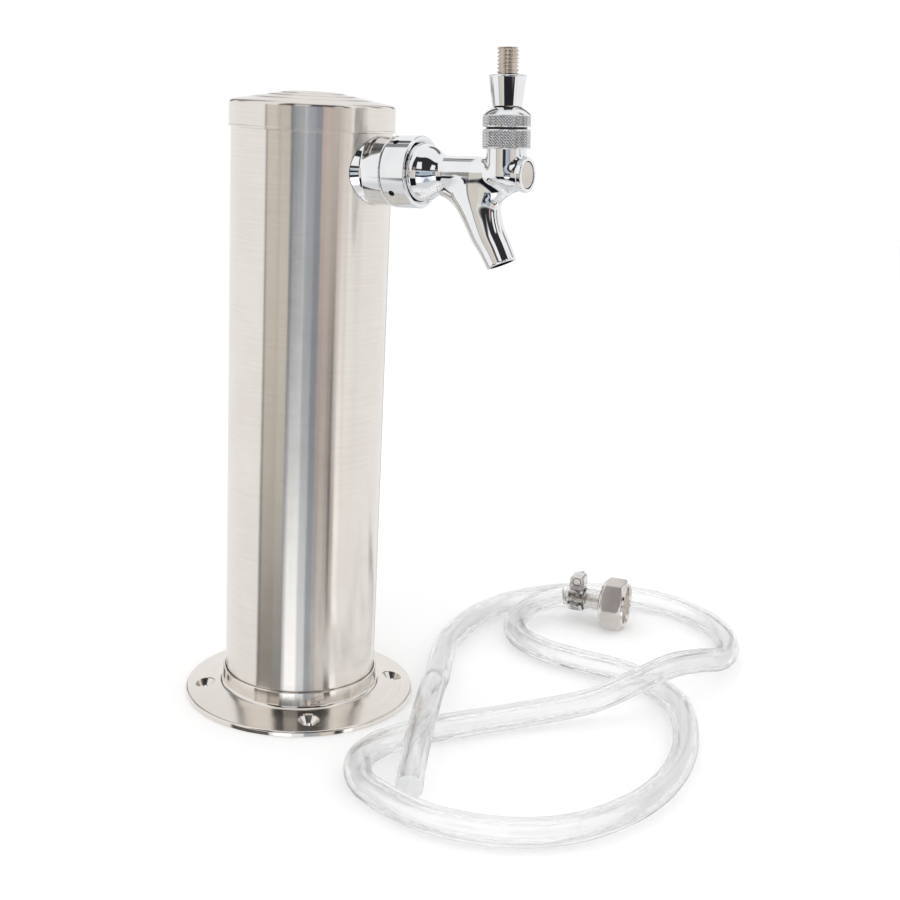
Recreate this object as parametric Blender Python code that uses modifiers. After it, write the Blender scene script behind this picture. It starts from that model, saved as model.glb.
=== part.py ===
"""Single tap beer tower: a 3 inch stainless column on a round base flange, a chromed shank and faucet
whose lever drives a sliding shaft, and a loose clear beer line with its swivel nut.

Metres, +Z up. The origin is the middle of the base's underside and the faucet points to -Y.
Pieces on the shank are modelled about +Z and turned onto the shank's axis, so their own Z is the
distance out from the column's face. Pieces on the lever stand on the shank's axis, with Z upwards.
"""
import math

import bmesh
import bpy
from mathutils import Matrix, Vector

MM = 0.001

# General
touch_gap = 0.3 * MM
cut_overrun = 2.0 * MM
merge_distance = 0.01 * MM
smooth_angle = math.radians(35)
round_steps = 32
small_steps = 16
arc_steps = 3
ball_arc_steps = 5
bell_steps = 3
cutter_twist = math.radians(1)

# Column and its foam
column_radius = 38.1 * MM
column_wall = 1.2 * MM
column_top = 292.0 * MM
column_steps = 40
sleeve_bore_radius = 14.0 * MM
sleeve_below_shank = 45.5 * MM

# Base flange
base_width = 20.2 * MM
base_bore_inset = 6.1 * MM
base_rim_height = 2.7 * MM
base_rim_round = 0.9 * MM
base_edge_break = 0.3 * MM
base_cone_rise = 3.1 * MM
base_ledge = 1.7 * MM
collar_wall = 1.0 * MM
collar_height = 14.3 * MM
collar_round = 0.9 * MM
collar_fillet = 1.9 * MM
base_hole_inset = 9.5 * MM
base_hole_radius = 2.75 * MM
base_hole_count = 4
base_hole_turn = math.radians(-48.3)
countersink_radius = 6.4 * MM
countersink_floor = 1.4 * MM

# Top cap and its foam disc
cap_overhang = 0.95 * MM
cap_skirt = 8.2 * MM
cap_bead = 0.2 * MM
cap_bead_height = 1.1 * MM
cap_wall = 1.1 * MM
cap_shoulder_round = 3.6 * MM
cap_dome_rise = 3.0 * MM
cap_disc_radius = 18.4 * MM
cap_disc_step = 0.9 * MM
cap_disc_rise = 0.7 * MM
cap_disc_round = 0.9 * MM
foam_disc_height = 8.0 * MM

# Shank line: how far below the column's top it leaves it, and how it rises towards the front
shank_below_top = 24.5 * MM
shank_rise = math.radians(2.6)
thread_radius = 11.1 * MM
thread_clearance = 0.3 * MM
shank_bore_radius = 4.0 * MM

# Shank collar against the column
collar_out = 10.3 * MM
collar_inset = 0.55 * MM
collar_break = 0.5 * MM
collar_flare = 3.0 * MM
collar_back = 6.0 * MM

# Coupling nut and the shank's head inside it
shank_head_radius = 14.3 * MM
coupling_length = 13.0 * MM
coupling_back_gap = 0.5 * MM
coupling_wall = 1.55 * MM
coupling_lip = 3.3 * MM
coupling_mouth_wall = 1.25 * MM
coupling_round = 0.6 * MM
spanner_hole_radius = 1.5 * MM
spanner_hole_depth = 1.1 * MM
spanner_hole_count = 4
spanner_hole_turn = math.radians(35)
shank_head_length = 6.0 * MM
coupling_washer_height = 1.6 * MM
coupling_washer_bore = 7.0 * MM

# Inside the column: washer, locknut, tail washer, elbow and its nut
inner_washer_radius = 15.5 * MM
inner_washer_face = 7.0 * MM
locknut_across_flats = 31.0 * MM
locknut_height = 5.5 * MM
shank_tail = 27.0 * MM
tail_washer_height = 1.5 * MM
tail_washer_radius = 10.4 * MM
elbow_flange_height = 2.0 * MM
elbow_radius = 5.0 * MM
elbow_bore_radius = 2.8 * MM
elbow_bend_radius = 8.0 * MM
elbow_neck = 5.0 * MM
elbow_drop = 24.0 * MM
elbow_barb_wall = 1.0 * MM
elbow_bend_steps = 6
elbow_resolution = 3
tail_nut_across_flats = 27.0 * MM
tail_nut_height = 14.0 * MM
tail_nut_web = 2.6 * MM
barb_step = 0.7 * MM
barb_pitch = 4.5 * MM
barb_count = 3

# Faucet body along the shank line
faucet_flange_inset = 0.4 * MM
faucet_flange_height = 1.3 * MM
bell_inset = 0.9 * MM
bell_length = 12.5 * MM
barrel_radius = 7.55 * MM
barrel_fillet = 4.0 * MM
boss_radius = 6.95 * MM
boss_rim_radius = 7.53 * MM
boss_rim_length = 2.2 * MM
boss_face = 77.4 * MM
boss_break = 0.35 * MM
chamber_radius = 7.4 * MM
seat_hole_radius = 4.8 * MM
seat_face = 33.0 * MM
seat_length = 3.0 * MM
shaft_bore_radius = 6.0 * MM

# Lever stack on the faucet body
lever_out = 66.5 * MM
pivot_height = 16.5 * MM
neck_radius = 8.9 * MM
neck_end = 5.5 * MM
ring_radius = 10.6 * MM
ring_drop = 5.6 * MM
ring_rise = 2.8 * MM
ring_break = 0.4 * MM
body_thread_radius = 9.0 * MM
body_top_rise = 6.7 * MM
socket_radius = 7.0 * MM
socket_drop = 6.9 * MM
tongue_hole_radius = 5.8 * MM
ball_radius = 5.8 * MM
cup_bore_radius = 4.6 * MM
cup_top_drop = 0.9 * MM
friction_washer_rise = 1.5 * MM
friction_washer_height = 1.8 * MM
bonnet_rise = 3.6 * MM
bonnet_dome_radius = 13.7 * MM
ferrule_gap = 0.4 * MM
ferrule_waist_radius = 6.6 * MM
ferrule_top_radius = 8.35 * MM
ferrule_rise = 25.5 * MM
ferrule_round = 0.7 * MM
stud_radius = 4.76 * MM
stud_length = 11.5 * MM
stud_break = 0.8 * MM
stud_rise = 13.5 * MM
lever_neck_radius = 2.6 * MM
tongue_radius = 1.6 * MM
tongue_tip_radius = 2.3 * MM
lever_travel = math.radians(18)
lever_margin = math.radians(1)

# Shaft
shaft_head_clearance = 0.3 * MM
shaft_head_length = 17.1 * MM
shaft_rod_radius = 3.0 * MM
shaft_end = 25.2 * MM
shaft_shoulder_radius = 4.0 * MM
shaft_shoulder_length = 1.8 * MM
shaft_break = 0.3 * MM
slot_half_width = 2.6 * MM
slot_side = 2.8 * MM
slot_floor = 2.7 * MM
notch_floor = 1.5 * MM
notch_behind = 3.0 * MM
notch_ahead = 4.7 * MM
friction_ring_height = 1.8 * MM
friction_ring_radius = 5.8 * MM
friction_ring_wall = 0.9 * MM
friction_ring_setback = 2.0 * MM
seat_washer_radius = 6.6 * MM
seat_washer_height = 3.0 * MM
shaft_nut_across_flats = 9.5 * MM
shaft_nut_height = 3.4 * MM

# Spout: places out along the shank line and down from it, with half widths in its plane and across
spout_out_shares = (0.760, 0.772, 0.797, 0.832, 0.877, 0.929, 0.981)
spout_drop = 39.2 * MM
spout_drop_shares = (0.05, 0.23, 0.36, 0.51, 0.69, 0.84, 1.0)
spout_tip_radius = 6.9 * MM
spout_depth_shares = (1.96, 2.0, 1.57, 1.29, 1.14, 1.06, 1.0)
spout_width_shares = (1.0, 1.02, 1.05, 1.07, 1.06, 1.02, 1.0)
spout_tip_lean = math.radians(23)
spout_lean_shares = (0.0, 0.1, 0.4, 0.75, 1.0, 1.0, 1.0)
spout_bore_radius = 5.2 * MM
spout_steps = 16

# Beer line and its nut, in the frame it is laid in: X to one side, Y away, Z up
line_turn = math.radians(-53.9)
line_radius = 6.35 * MM
line_section_count = 78
line_bevel_resolution = 2
nut_across_flats = 27.0 * MM
nut_length = 15.0 * MM
nut_start = 1.5 * MM
nut_web = 3.0 * MM
nut_bore_radius = 11.1 * MM
nut_web_hole_radius = 6.8 * MM
nut_axis_height = nut_across_flats / 2 + touch_gap
nut_turn = math.radians(-25)
nut_place = Vector((178.0 * MM, 93.0 * MM, nut_axis_height))
tailpiece_neck_radius = 6.4 * MM
tailpiece_flange_radius = 10.3 * MM
tailpiece_flange_height = 2.0 * MM
tailpiece_bore_radius = 2.4 * MM
tailpiece_barb_length = 22.0 * MM
tailpiece_barb_radius = 3.4 * MM
line_washer_height = 2.0 * MM
line_washer_bore = 4.0 * MM
clamp_width = 8.5 * MM
clamp_thickness = 0.7 * MM
clamp_place = 14.0 * MM
clamp_slot_count = 9
clamp_slot_width = 1.0 * MM
clamp_slot_length = 5.0 * MM
clamp_slot_pitch = math.radians(17)
housing_length = 10.0 * MM
housing_height = 6.4 * MM
housing_wall = 1.0 * MM
screw_radius = 2.2 * MM
screw_head_radius = 3.0 * MM
screw_head_length = 3.0 * MM
screw_slot = 0.8 * MM

# The route of the beer line from the nut to its cut end, chosen by hand to follow its loops
line_route = (
    (178.0, 93.0, 13.8), (167.1, 98.1, 13.8), (156.3, 103.1, 13.6), (142.5, 100.0, 10.6),
    (130.0, 88.0, 7.6), (123.5, 72.0, 6.65), (124.5, 53.0, 6.65), (135.0, 35.0, 6.65),
    (153.0, 20.0, 6.65), (172.0, 7.0, 6.65), (186.0, -12.0, 6.65), (192.5, -36.0, 6.65),
    (189.0, -64.0, 6.65), (180.0, -92.0, 6.65), (165.0, -118.0, 6.65), (145.0, -139.0, 6.65),
    (117.0, -155.0, 6.65), (87.0, -158.0, 6.65), (55.0, -146.0, 6.65), (31.0, -120.0, 6.65),
    (27.0, -99.0, 6.65), (33.0, -84.0, 6.65), (46.0, -72.0, 6.65), (66.0, -62.0, 6.65),
    (108.0, -47.5, 6.65), (146.0, -38.0, 10.0), (172.0, -29.0, 17.0), (193.0, -16.5, 20.2),
    (213.0, -1.0, 16.5), (231.0, 18.0, 9.5), (241.5, 40.0, 6.65), (244.0, 62.0, 6.65),
    (238.5, 86.0, 6.65), (226.0, 105.0, 6.65), (208.0, 118.0, 6.65), (186.0, 125.0, 6.65),
    (160.0, 124.0, 6.65), (132.0, 112.5, 6.65), (112.0, 96.0, 6.65), (97.0, 77.0, 6.65),
    (84.0, 51.0, 6.65), (77.0, 26.0, 7.0), (70.5, -14.0, 12.0), (66.0, -38.0, 18.0),
    (61.5, -62.0, 20.4), (56.0, -84.0, 15.5), (51.5, -104.0, 8.6), (49.0, -120.0, 6.65),
)

# Sizes that follow from the ones above
column_bore = column_radius - column_wall
shank_height = column_top - shank_below_top
sleeve_top = shank_height - sleeve_below_shank
base_radius = column_radius + base_width
base_bore_radius = column_radius - base_bore_inset
base_hole_circle_radius = base_radius - base_hole_inset
cap_radius = column_radius + cap_overhang
collar_ring_radius = column_radius + touch_gap + collar_wall
collar_back_cut = column_radius + touch_gap
coupling_bore = shank_head_radius + thread_clearance
coupling_radius = coupling_bore + coupling_wall
coupling_mouth_radius = coupling_radius - coupling_mouth_wall
collar_radius = coupling_radius - collar_inset
faucet_flange_radius = shank_head_radius - faucet_flange_inset
bell_radius = faucet_flange_radius - bell_inset
coupling_lip_radius = bell_radius + touch_gap
shank_head_back = collar_out + touch_gap
shank_head_front = shank_head_back + shank_head_length
coupling_back = collar_out + coupling_back_gap
coupling_front = coupling_back + coupling_length
coupling_washer_back = shank_head_front + touch_gap
flange_back = coupling_washer_back + coupling_washer_height + touch_gap
flange_front = flange_back + faucet_flange_height
bell_front = flange_back + bell_length
ring_bottom = pivot_height - ring_drop
ring_top = pivot_height + ring_rise
body_top = pivot_height + body_top_rise
socket_floor = pivot_height - socket_drop
bonnet_bottom = pivot_height + bonnet_rise
ferrule_top = pivot_height + ferrule_rise
stud_top = ferrule_top + stud_length
ferrule_sphere_radius = bonnet_dome_radius + ferrule_gap
shaft_front = boss_face - touch_gap
shaft_head_radius = shaft_bore_radius - shaft_head_clearance
shaft_head_back = shaft_front - shaft_head_length
seat_washer_front = seat_face - touch_gap
locknut_front = inner_washer_face + touch_gap
tail_washer_front = shank_tail + touch_gap
elbow_flange_front = tail_washer_front + tail_washer_height + touch_gap
elbow_flange_back = elbow_flange_front + elbow_flange_height
tail_nut_back = elbow_flange_back + touch_gap + tail_nut_web
clamp_inner = line_radius + 2 * touch_gap
clamp_outer = clamp_inner + clamp_thickness

colours = {
    "brushed_steel": ((0.72, 0.70, 0.68, 1.0), 0.28, 1.0),
    "chrome": ((0.90, 0.90, 0.91, 1.0), 0.06, 1.0),
    "nickel": ((0.76, 0.74, 0.70, 1.0), 0.22, 1.0),
    "brass": ((0.78, 0.62, 0.36, 1.0), 0.30, 1.0),
    "rubber": ((0.03, 0.03, 0.03, 1.0), 0.70, 0.0),
    "white_plastic": ((0.85, 0.84, 0.80, 1.0), 0.45, 0.0),
    "foam": ((0.80, 0.80, 0.77, 1.0), 0.90, 0.0),
    "clear_pvc": ((0.88, 0.90, 0.90, 1.0), 0.10, 0.0),
}


def clear_scene():
    for item in list(bpy.data.objects):
        bpy.data.objects.remove(item, do_unlink=True)


def new_collection(name):
    collection = bpy.data.collections.new(name)
    bpy.context.scene.collection.children.link(collection)
    return collection


def material_for(finish, name):
    """Each piece has its own material, with the colour, roughness and metal of its finish."""
    colour, roughness, metallic = colours[finish]
    material = bpy.data.materials.new(name)
    material.use_nodes = True
    shader = material.node_tree.nodes["Principled BSDF"]
    shader.inputs["Base Color"].default_value = colour
    shader.inputs["Roughness"].default_value = roughness
    shader.inputs["Metallic"].default_value = metallic
    return material


def add_empty(name, place, turn=(0, 0, 0), parent=None):
    empty = bpy.data.objects.new(name, None)
    parts.objects.link(empty)
    empty.parent = parent
    empty.location = place
    empty.rotation_euler = turn
    return empty


def add_object(name, mesh, finish=None, parent=None, place=(0, 0, 0), turn=(0, 0, 0)):
    """A piece where a finish is given, otherwise a cutter or a shape that is joined to a piece."""
    item = bpy.data.objects.new(name, mesh)
    item.parent = parent
    item.location = place
    item.rotation_euler = turn
    if finish is None:
        cutters.objects.link(item)
        item.hide_render = True
        item.display_type = "WIRE"
    else:
        parts.objects.link(item)
        mesh.materials.append(material_for(finish, name))
    return item


def mesh_from(name, build):
    """A mesh made by a function that fills a bmesh."""
    shape = bmesh.new()
    build(shape)
    mesh = bpy.data.meshes.new(name)
    shape.to_mesh(mesh)
    shape.free()
    return mesh


def smooth(mesh):
    mesh.shade_smooth()
    mesh.set_sharp_from_angle(angle=smooth_angle)


def cylinder(name, radius, bottom, top, steps=small_steps, radius_top=None, **where):
    """A cylinder or cone about Z from bottom to top."""
    def build(shape):
        bmesh.ops.create_cone(
            shape, cap_ends=True, segments=steps, radius1=radius,
            radius2=radius if radius_top is None else radius_top, depth=top - bottom,
            matrix=Matrix.Translation((0, 0, (top + bottom) / 2)))
    mesh = mesh_from(name, build)
    smooth(mesh)
    return add_object(name, mesh, **where)


def prism(name, across_flats, bottom, top, turn_share=0, **where):
    """A hexagon about Z. A turn share of 1 turns it by half the angle between two corners."""
    corner = across_flats / 2 / math.cos(math.pi / 6)

    def build(shape):
        bmesh.ops.create_cone(
            shape, cap_ends=True, segments=6, radius1=corner, radius2=corner, depth=top - bottom,
            matrix=Matrix.Translation((0, 0, (top + bottom) / 2))
            @ Matrix.Rotation(turn_share * math.pi / 6, 4, "Z"))
    return add_object(name, mesh_from(name, build), **where)


def box(name, low, high, **where):
    size = Vector(high) - Vector(low)
    middle = (Vector(high) + Vector(low)) / 2

    def build(shape):
        bmesh.ops.create_cube(
            shape, size=1, matrix=Matrix.Translation(middle) @ Matrix.Diagonal((*size, 1)))
    return add_object(name, mesh_from(name, build), **where)


def sphere(name, radius, place, **where):
    def build(shape):
        bmesh.ops.create_uvsphere(
            shape, u_segments=small_steps, v_segments=small_steps // 2, radius=radius,
            matrix=Matrix.Translation(place))
    return add_object(name, mesh_from(name, build), **where)


def turned(name, profile, closed, steps=round_steps, **where):
    """A profile of (radius, height) points, turned about Z. An open one starts and ends on Z."""
    mesh = bpy.data.meshes.new(name)
    count = len(profile)
    edges = [(i, i + 1) for i in range(count - 1)]
    if closed:
        edges.append((count - 1, 0))
    mesh.from_pydata([(radius, 0, height) for radius, height in profile], edges, [])
    item = add_object(name, mesh, **where)
    screw = item.modifiers.new("turn", "SCREW")
    screw.steps = steps
    screw.render_steps = steps
    screw.use_merge_vertices = True
    screw.merge_threshold = merge_distance
    screw.use_smooth_shade = True
    return item


def arc(centre, radius, start, end, steps=arc_steps):
    """Points on an arc about (radius, height), with its angles in degrees from the outward side."""
    angles = [math.radians(start + (end - start) * i / steps) for i in range(steps + 1)]
    return [(centre[0] + radius * math.cos(a), centre[1] + radius * math.sin(a)) for a in angles]


def sphere_height(radius, across):
    """How far above a sphere's centre its surface lies, at a distance from its axis."""
    return math.sqrt(radius * radius - across * across)


def boolean(item, other, operation):
    modifier = item.modifiers.new(operation.lower(), "BOOLEAN")
    modifier.operation = operation
    modifier.solver = "EXACT"
    modifier.object = other


def cut(item, *others):
    for other in others:
        boolean(item, other, "DIFFERENCE")


def join(item, *others):
    for other in others:
        boolean(item, other, "UNION")


def tube_curve(name, points, radius, resolution, **where):
    """A round bar along points, as a mesh whose ends are closed."""
    curve = bpy.data.curves.new(name, "CURVE")
    curve.dimensions = "3D"
    curve.bevel_depth = radius
    curve.bevel_resolution = resolution
    curve.use_fill_caps = True
    spline = curve.splines.new("POLY")
    spline.points.add(len(points) - 1)
    for point, place in zip(spline.points, points):
        point.co = (*place, 1)
    guide = bpy.data.objects.new(name + "_guide", curve)
    cutters.objects.link(guide)
    bpy.context.view_layer.update()
    graph = bpy.context.evaluated_depsgraph_get()
    mesh = bpy.data.meshes.new_from_object(guide.evaluated_get(graph))
    mesh.name = name
    bpy.data.objects.remove(guide, do_unlink=True)
    shape = bmesh.new()
    shape.from_mesh(mesh)
    bmesh.ops.remove_doubles(shape, verts=shape.verts, dist=merge_distance)
    bmesh.ops.recalc_face_normals(shape, faces=shape.faces)
    shape.to_mesh(mesh)
    shape.free()
    smooth(mesh)
    return add_object(name, mesh, **where)


def loft(name, rings, **where):
    """A closed solid through rings of points, which all have as many points."""
    def build(shape):
        loops = [[shape.verts.new(point) for point in ring] for ring in rings]
        count = len(loops[0])
        for first, second in zip(loops, loops[1:]):
            for i in range(count):
                j = (i + 1) % count
                shape.faces.new((first[i], first[j], second[j], second[i]))
        shape.faces.new(loops[0])
        shape.faces.new(loops[-1])
        bmesh.ops.recalc_face_normals(shape, faces=shape.faces)
    mesh = mesh_from(name, build)
    smooth(mesh)
    return add_object(name, mesh, **where)


def barbs(start, radius, step, pitch, count):
    """The outline of a hose barb from its start down: each barb swells and drops back."""
    points = []
    for i in range(count):
        top = start - i * pitch
        points += [(radius, top), (radius + step, top - pitch + step), (radius, top - pitch)]
    return points


def make_base():
    cone_start = collar_ring_radius + collar_fillet
    cone_top = base_rim_height + base_cone_rise
    socket = column_radius + touch_gap
    profile = [(socket, collar_height)]
    profile += arc((collar_ring_radius - collar_round, collar_height - collar_round), collar_round, 90, 0)
    cone_angle = math.degrees(math.atan2(base_cone_rise, base_radius - cone_start))
    profile += arc((cone_start, cone_top + collar_fillet), collar_fillet, 180, 270 - cone_angle)
    profile += arc(
        (base_radius - base_rim_round, base_rim_height - base_rim_round), base_rim_round, 90 - cone_angle, 0)
    profile += [
        (base_radius, base_edge_break), (base_radius - base_edge_break, 0), (base_bore_radius, 0),
        (base_bore_radius, base_ledge), (socket, base_ledge)]
    base = turned("base_flange", profile, True, column_steps, finish="brushed_steel")
    # The countersink has its full radius where it meets the cone's surface at the hole circle
    face_share = (base_radius - base_hole_circle_radius) / (base_radius - cone_start)
    face_height = base_rim_height + base_cone_rise * face_share
    sink_slope = (countersink_radius - base_hole_radius) / (face_height - countersink_floor)
    sink_top = cone_top + collar_fillet
    for i in range(base_hole_count):
        angle = base_hole_turn - math.pi / 2 + i * math.tau / base_hole_count
        place = (base_hole_circle_radius * math.cos(angle), base_hole_circle_radius * math.sin(angle), 0)
        hole = cylinder(f"screw_hole_{i}", base_hole_radius, -cut_overrun, cone_top, place=place)
        sink = cylinder(
            f"countersink_{i}", base_hole_radius, countersink_floor, sink_top, place=place,
            radius_top=base_hole_radius + sink_slope * (sink_top - countersink_floor))
        cut(base, hole, sink)


def make_column():
    bottom = base_ledge + touch_gap
    column = turned(
        "column_tube",
        [(column_radius, column_top), (column_radius, bottom), (column_bore, bottom), (column_bore, column_top)],
        True, column_steps, finish="brushed_steel")
    cut(column, cylinder(
        "shank_hole", thread_radius + thread_clearance, -column_radius / 2, column_wall + cut_overrun,
        parent=shank_frame, turn=outwards))
    turned(
        "insulation_sleeve",
        [(column_bore - touch_gap, sleeve_top), (column_bore - touch_gap, bottom),
         (sleeve_bore_radius, bottom), (sleeve_bore_radius, sleeve_top)],
        True, finish="foam")


def make_cap():
    seat = column_top + touch_gap
    skirt_bottom = seat - cap_skirt
    shoulder = seat + cap_wall
    socket = column_radius + touch_gap
    edge = cap_radius - cap_shoulder_round
    rim_height = shoulder + cap_shoulder_round
    slope = cap_dome_rise / (edge - cap_disc_radius)
    disc_top = rim_height + cap_dome_rise + cap_disc_step
    profile = [(0, disc_top + cap_disc_rise)]
    profile += [(cap_disc_radius - cap_disc_round, disc_top)]
    profile += [(cap_disc_radius, disc_top - cap_disc_round), (edge, rim_height)]
    profile += arc((edge, shoulder), cap_shoulder_round, 90 - math.degrees(math.atan(slope)), 0)
    bead = cap_radius + cap_bead
    profile += [
        (cap_radius, skirt_bottom + cap_bead_height), (bead, skirt_bottom + cap_bead_height - cap_bead),
        (bead, skirt_bottom + cap_bead), (cap_radius, skirt_bottom), (socket, skirt_bottom),
        (socket, seat), (column_bore, seat), (edge - cap_wall, rim_height - cap_wall - slope * cap_wall),
        (cap_disc_radius, rim_height + cap_dome_rise - cap_wall), (0, disc_top - cap_wall)]
    turned("top_cap", profile, False, column_steps, finish="brushed_steel", parent=cap_lift)
    disc_radius = column_bore - touch_gap
    turned(
        "cap_foam_disc",
        [(0, seat), (disc_radius, seat), (disc_radius, seat - foam_disc_height), (0, seat - foam_disc_height)],
        False, finish="foam", parent=cap_lift)


def make_shank():
    along = {"parent": shank_frame, "turn": outwards}
    flare_radius = collar_radius + collar_flare
    collar = turned(
        "shank_collar",
        [(collar_radius - collar_break, collar_out), (collar_radius, collar_out - collar_break),
         (collar_radius, 0), (flare_radius, -collar_back), (thread_radius + thread_clearance, -collar_back),
         (thread_radius + thread_clearance, collar_out)],
        True, finish="chrome", **along)
    cut(collar, cylinder("column_outside", collar_back_cut, shank_height / 2, column_top, column_steps))
    turned(
        "shank_tube",
        [(shank_head_radius, shank_head_front), (shank_head_radius, shank_head_back),
         (thread_radius, shank_head_back), (thread_radius, -shank_tail),
         (shank_bore_radius, -shank_tail), (shank_bore_radius, shank_head_front)],
        True, finish="brass", **along)
    turned(
        "coupling_washer",
        [(coupling_lip_radius, coupling_washer_back + coupling_washer_height),
         (coupling_lip_radius, coupling_washer_back), (coupling_washer_bore, coupling_washer_back),
         (coupling_washer_bore, coupling_washer_back + coupling_washer_height)],
        True, small_steps, finish="rubber", **along)
    lip_back = flange_front + touch_gap
    profile = arc((coupling_radius - coupling_round, coupling_front - coupling_round), coupling_round, 90, 0)
    profile += arc((coupling_radius - coupling_round, coupling_back + coupling_round), coupling_round, 0, -90)
    profile += [
        (coupling_bore, coupling_back), (coupling_bore, lip_back), (coupling_lip_radius, lip_back),
        (coupling_lip_radius, (lip_back + coupling_front) / 2), (coupling_mouth_radius, coupling_front)]
    nut = turned("coupling_nut", profile, True, finish="chrome", **along)
    middle = (coupling_back + lip_back) / 2
    for i in range(spanner_hole_count):
        angle = spanner_hole_turn + i * math.tau / spanner_hole_count
        depth = coupling_radius - spanner_hole_depth
        hole = cylinder(
            f"spanner_hole_{i}", spanner_hole_radius, depth, coupling_radius + cut_overrun,
            parent=coupling_frame, place=(0, 0, middle), turn=(math.pi / 2, 0, angle))
        cut(nut, hole)


def make_shank_inside():
    along = {"parent": shank_frame, "turn": outwards}
    clear = thread_radius + thread_clearance
    washer = turned(
        "inner_saddle_washer",
        [(inner_washer_radius, 0), (inner_washer_radius, -inner_washer_face), (clear, -inner_washer_face),
         (clear, 0)],
        True, small_steps, finish="white_plastic", **along)
    boolean(washer, cylinder(
        "column_inside", column_bore - touch_gap, shank_height / 2, column_top, column_steps), "INTERSECT")
    locknut = prism(
        "shank_locknut", locknut_across_flats, -locknut_front - locknut_height, -locknut_front, turn_share=1,
        finish="nickel", **along)
    cut(locknut, cylinder(
        "locknut_bore", clear, -shank_tail, cut_overrun, **along))
    turned(
        "tail_washer",
        [(tail_washer_radius, -tail_washer_front), (tail_washer_radius, -tail_washer_front - tail_washer_height),
         (shank_bore_radius, -tail_washer_front - tail_washer_height), (shank_bore_radius, -tail_washer_front)],
        True, small_steps, finish="rubber", **along)
    bend_out = elbow_flange_back + elbow_neck
    corner = (-bend_out, -elbow_bend_radius)
    bend = arc(corner, elbow_bend_radius, 90, 180, elbow_bend_steps)
    leg_out = -bend_out - elbow_bend_radius
    leg_end = -elbow_bend_radius - elbow_drop
    barb_top = barb_pitch * barb_count
    path = [(-elbow_flange_front, 0)] + bend + [(leg_out, leg_end + barb_top)]
    # In the shank's frame the path runs back along +Y and then down
    elbow = tube_curve(
        "tail_elbow", [(0, -out, up) for out, up in path], elbow_radius - barb_step, elbow_resolution,
        finish="nickel", parent=shank_frame)
    core = elbow_bore_radius + elbow_barb_wall
    barb = turned(
        "elbow_barb", [(0, barb_top + barb_pitch), (core, barb_top + barb_pitch)]
        + barbs(barb_top, core, barb_step, barb_pitch, barb_count) + [(0, 0)],
        False, small_steps, parent=shank_frame, place=(0, -leg_out, leg_end))
    flange = cylinder("elbow_flange", tail_washer_radius, -elbow_flange_back, -elbow_flange_front, **along)
    bore = tube_curve(
        "elbow_bore", [(0, -out, up) for out, up in
                       [(cut_overrun - elbow_flange_front, 0)] + bend + [(leg_out, leg_end - cut_overrun)]],
        elbow_bore_radius, elbow_resolution, parent=shank_frame)
    join(elbow, barb, flange)
    cut(elbow, bore)
    tail_nut = prism(
        "tail_nut", tail_nut_across_flats, -tail_nut_back, tail_nut_height - tail_nut_back,
        finish="nickel", **along)
    cut(
        tail_nut,
        cylinder("tail_nut_bore", clear, tail_nut_web - tail_nut_back, cut_overrun, **along),
        cylinder("tail_nut_hole", elbow_radius + thread_clearance, -tail_nut_back - cut_overrun,
                 tail_nut_web, **along))


def spout_rings(radii_in_plane, radii_across, overrun):
    """Rings of points down the spout, in the frame of the shank line, the last one past its tip."""
    rings = []
    count = len(spout_out_shares)
    for i in range(count):
        out = spout_out_shares[i] * lever_out
        drop = spout_drop_shares[i] * spout_drop
        lean = spout_lean_shares[i] * spout_tip_lean
        if i == count - 1:
            out += overrun * math.sin(lean)
            drop += overrun * math.cos(lean)
        ring = []
        for k in range(spout_steps):
            angle = k * math.tau / spout_steps
            forward = radii_in_plane[i] * math.cos(angle)
            across = radii_across[i] * math.sin(angle)
            ring.append((across, -(out + forward * math.cos(lean)), -(drop - forward * math.sin(lean))))
        rings.append(ring)
    return rings


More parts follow.
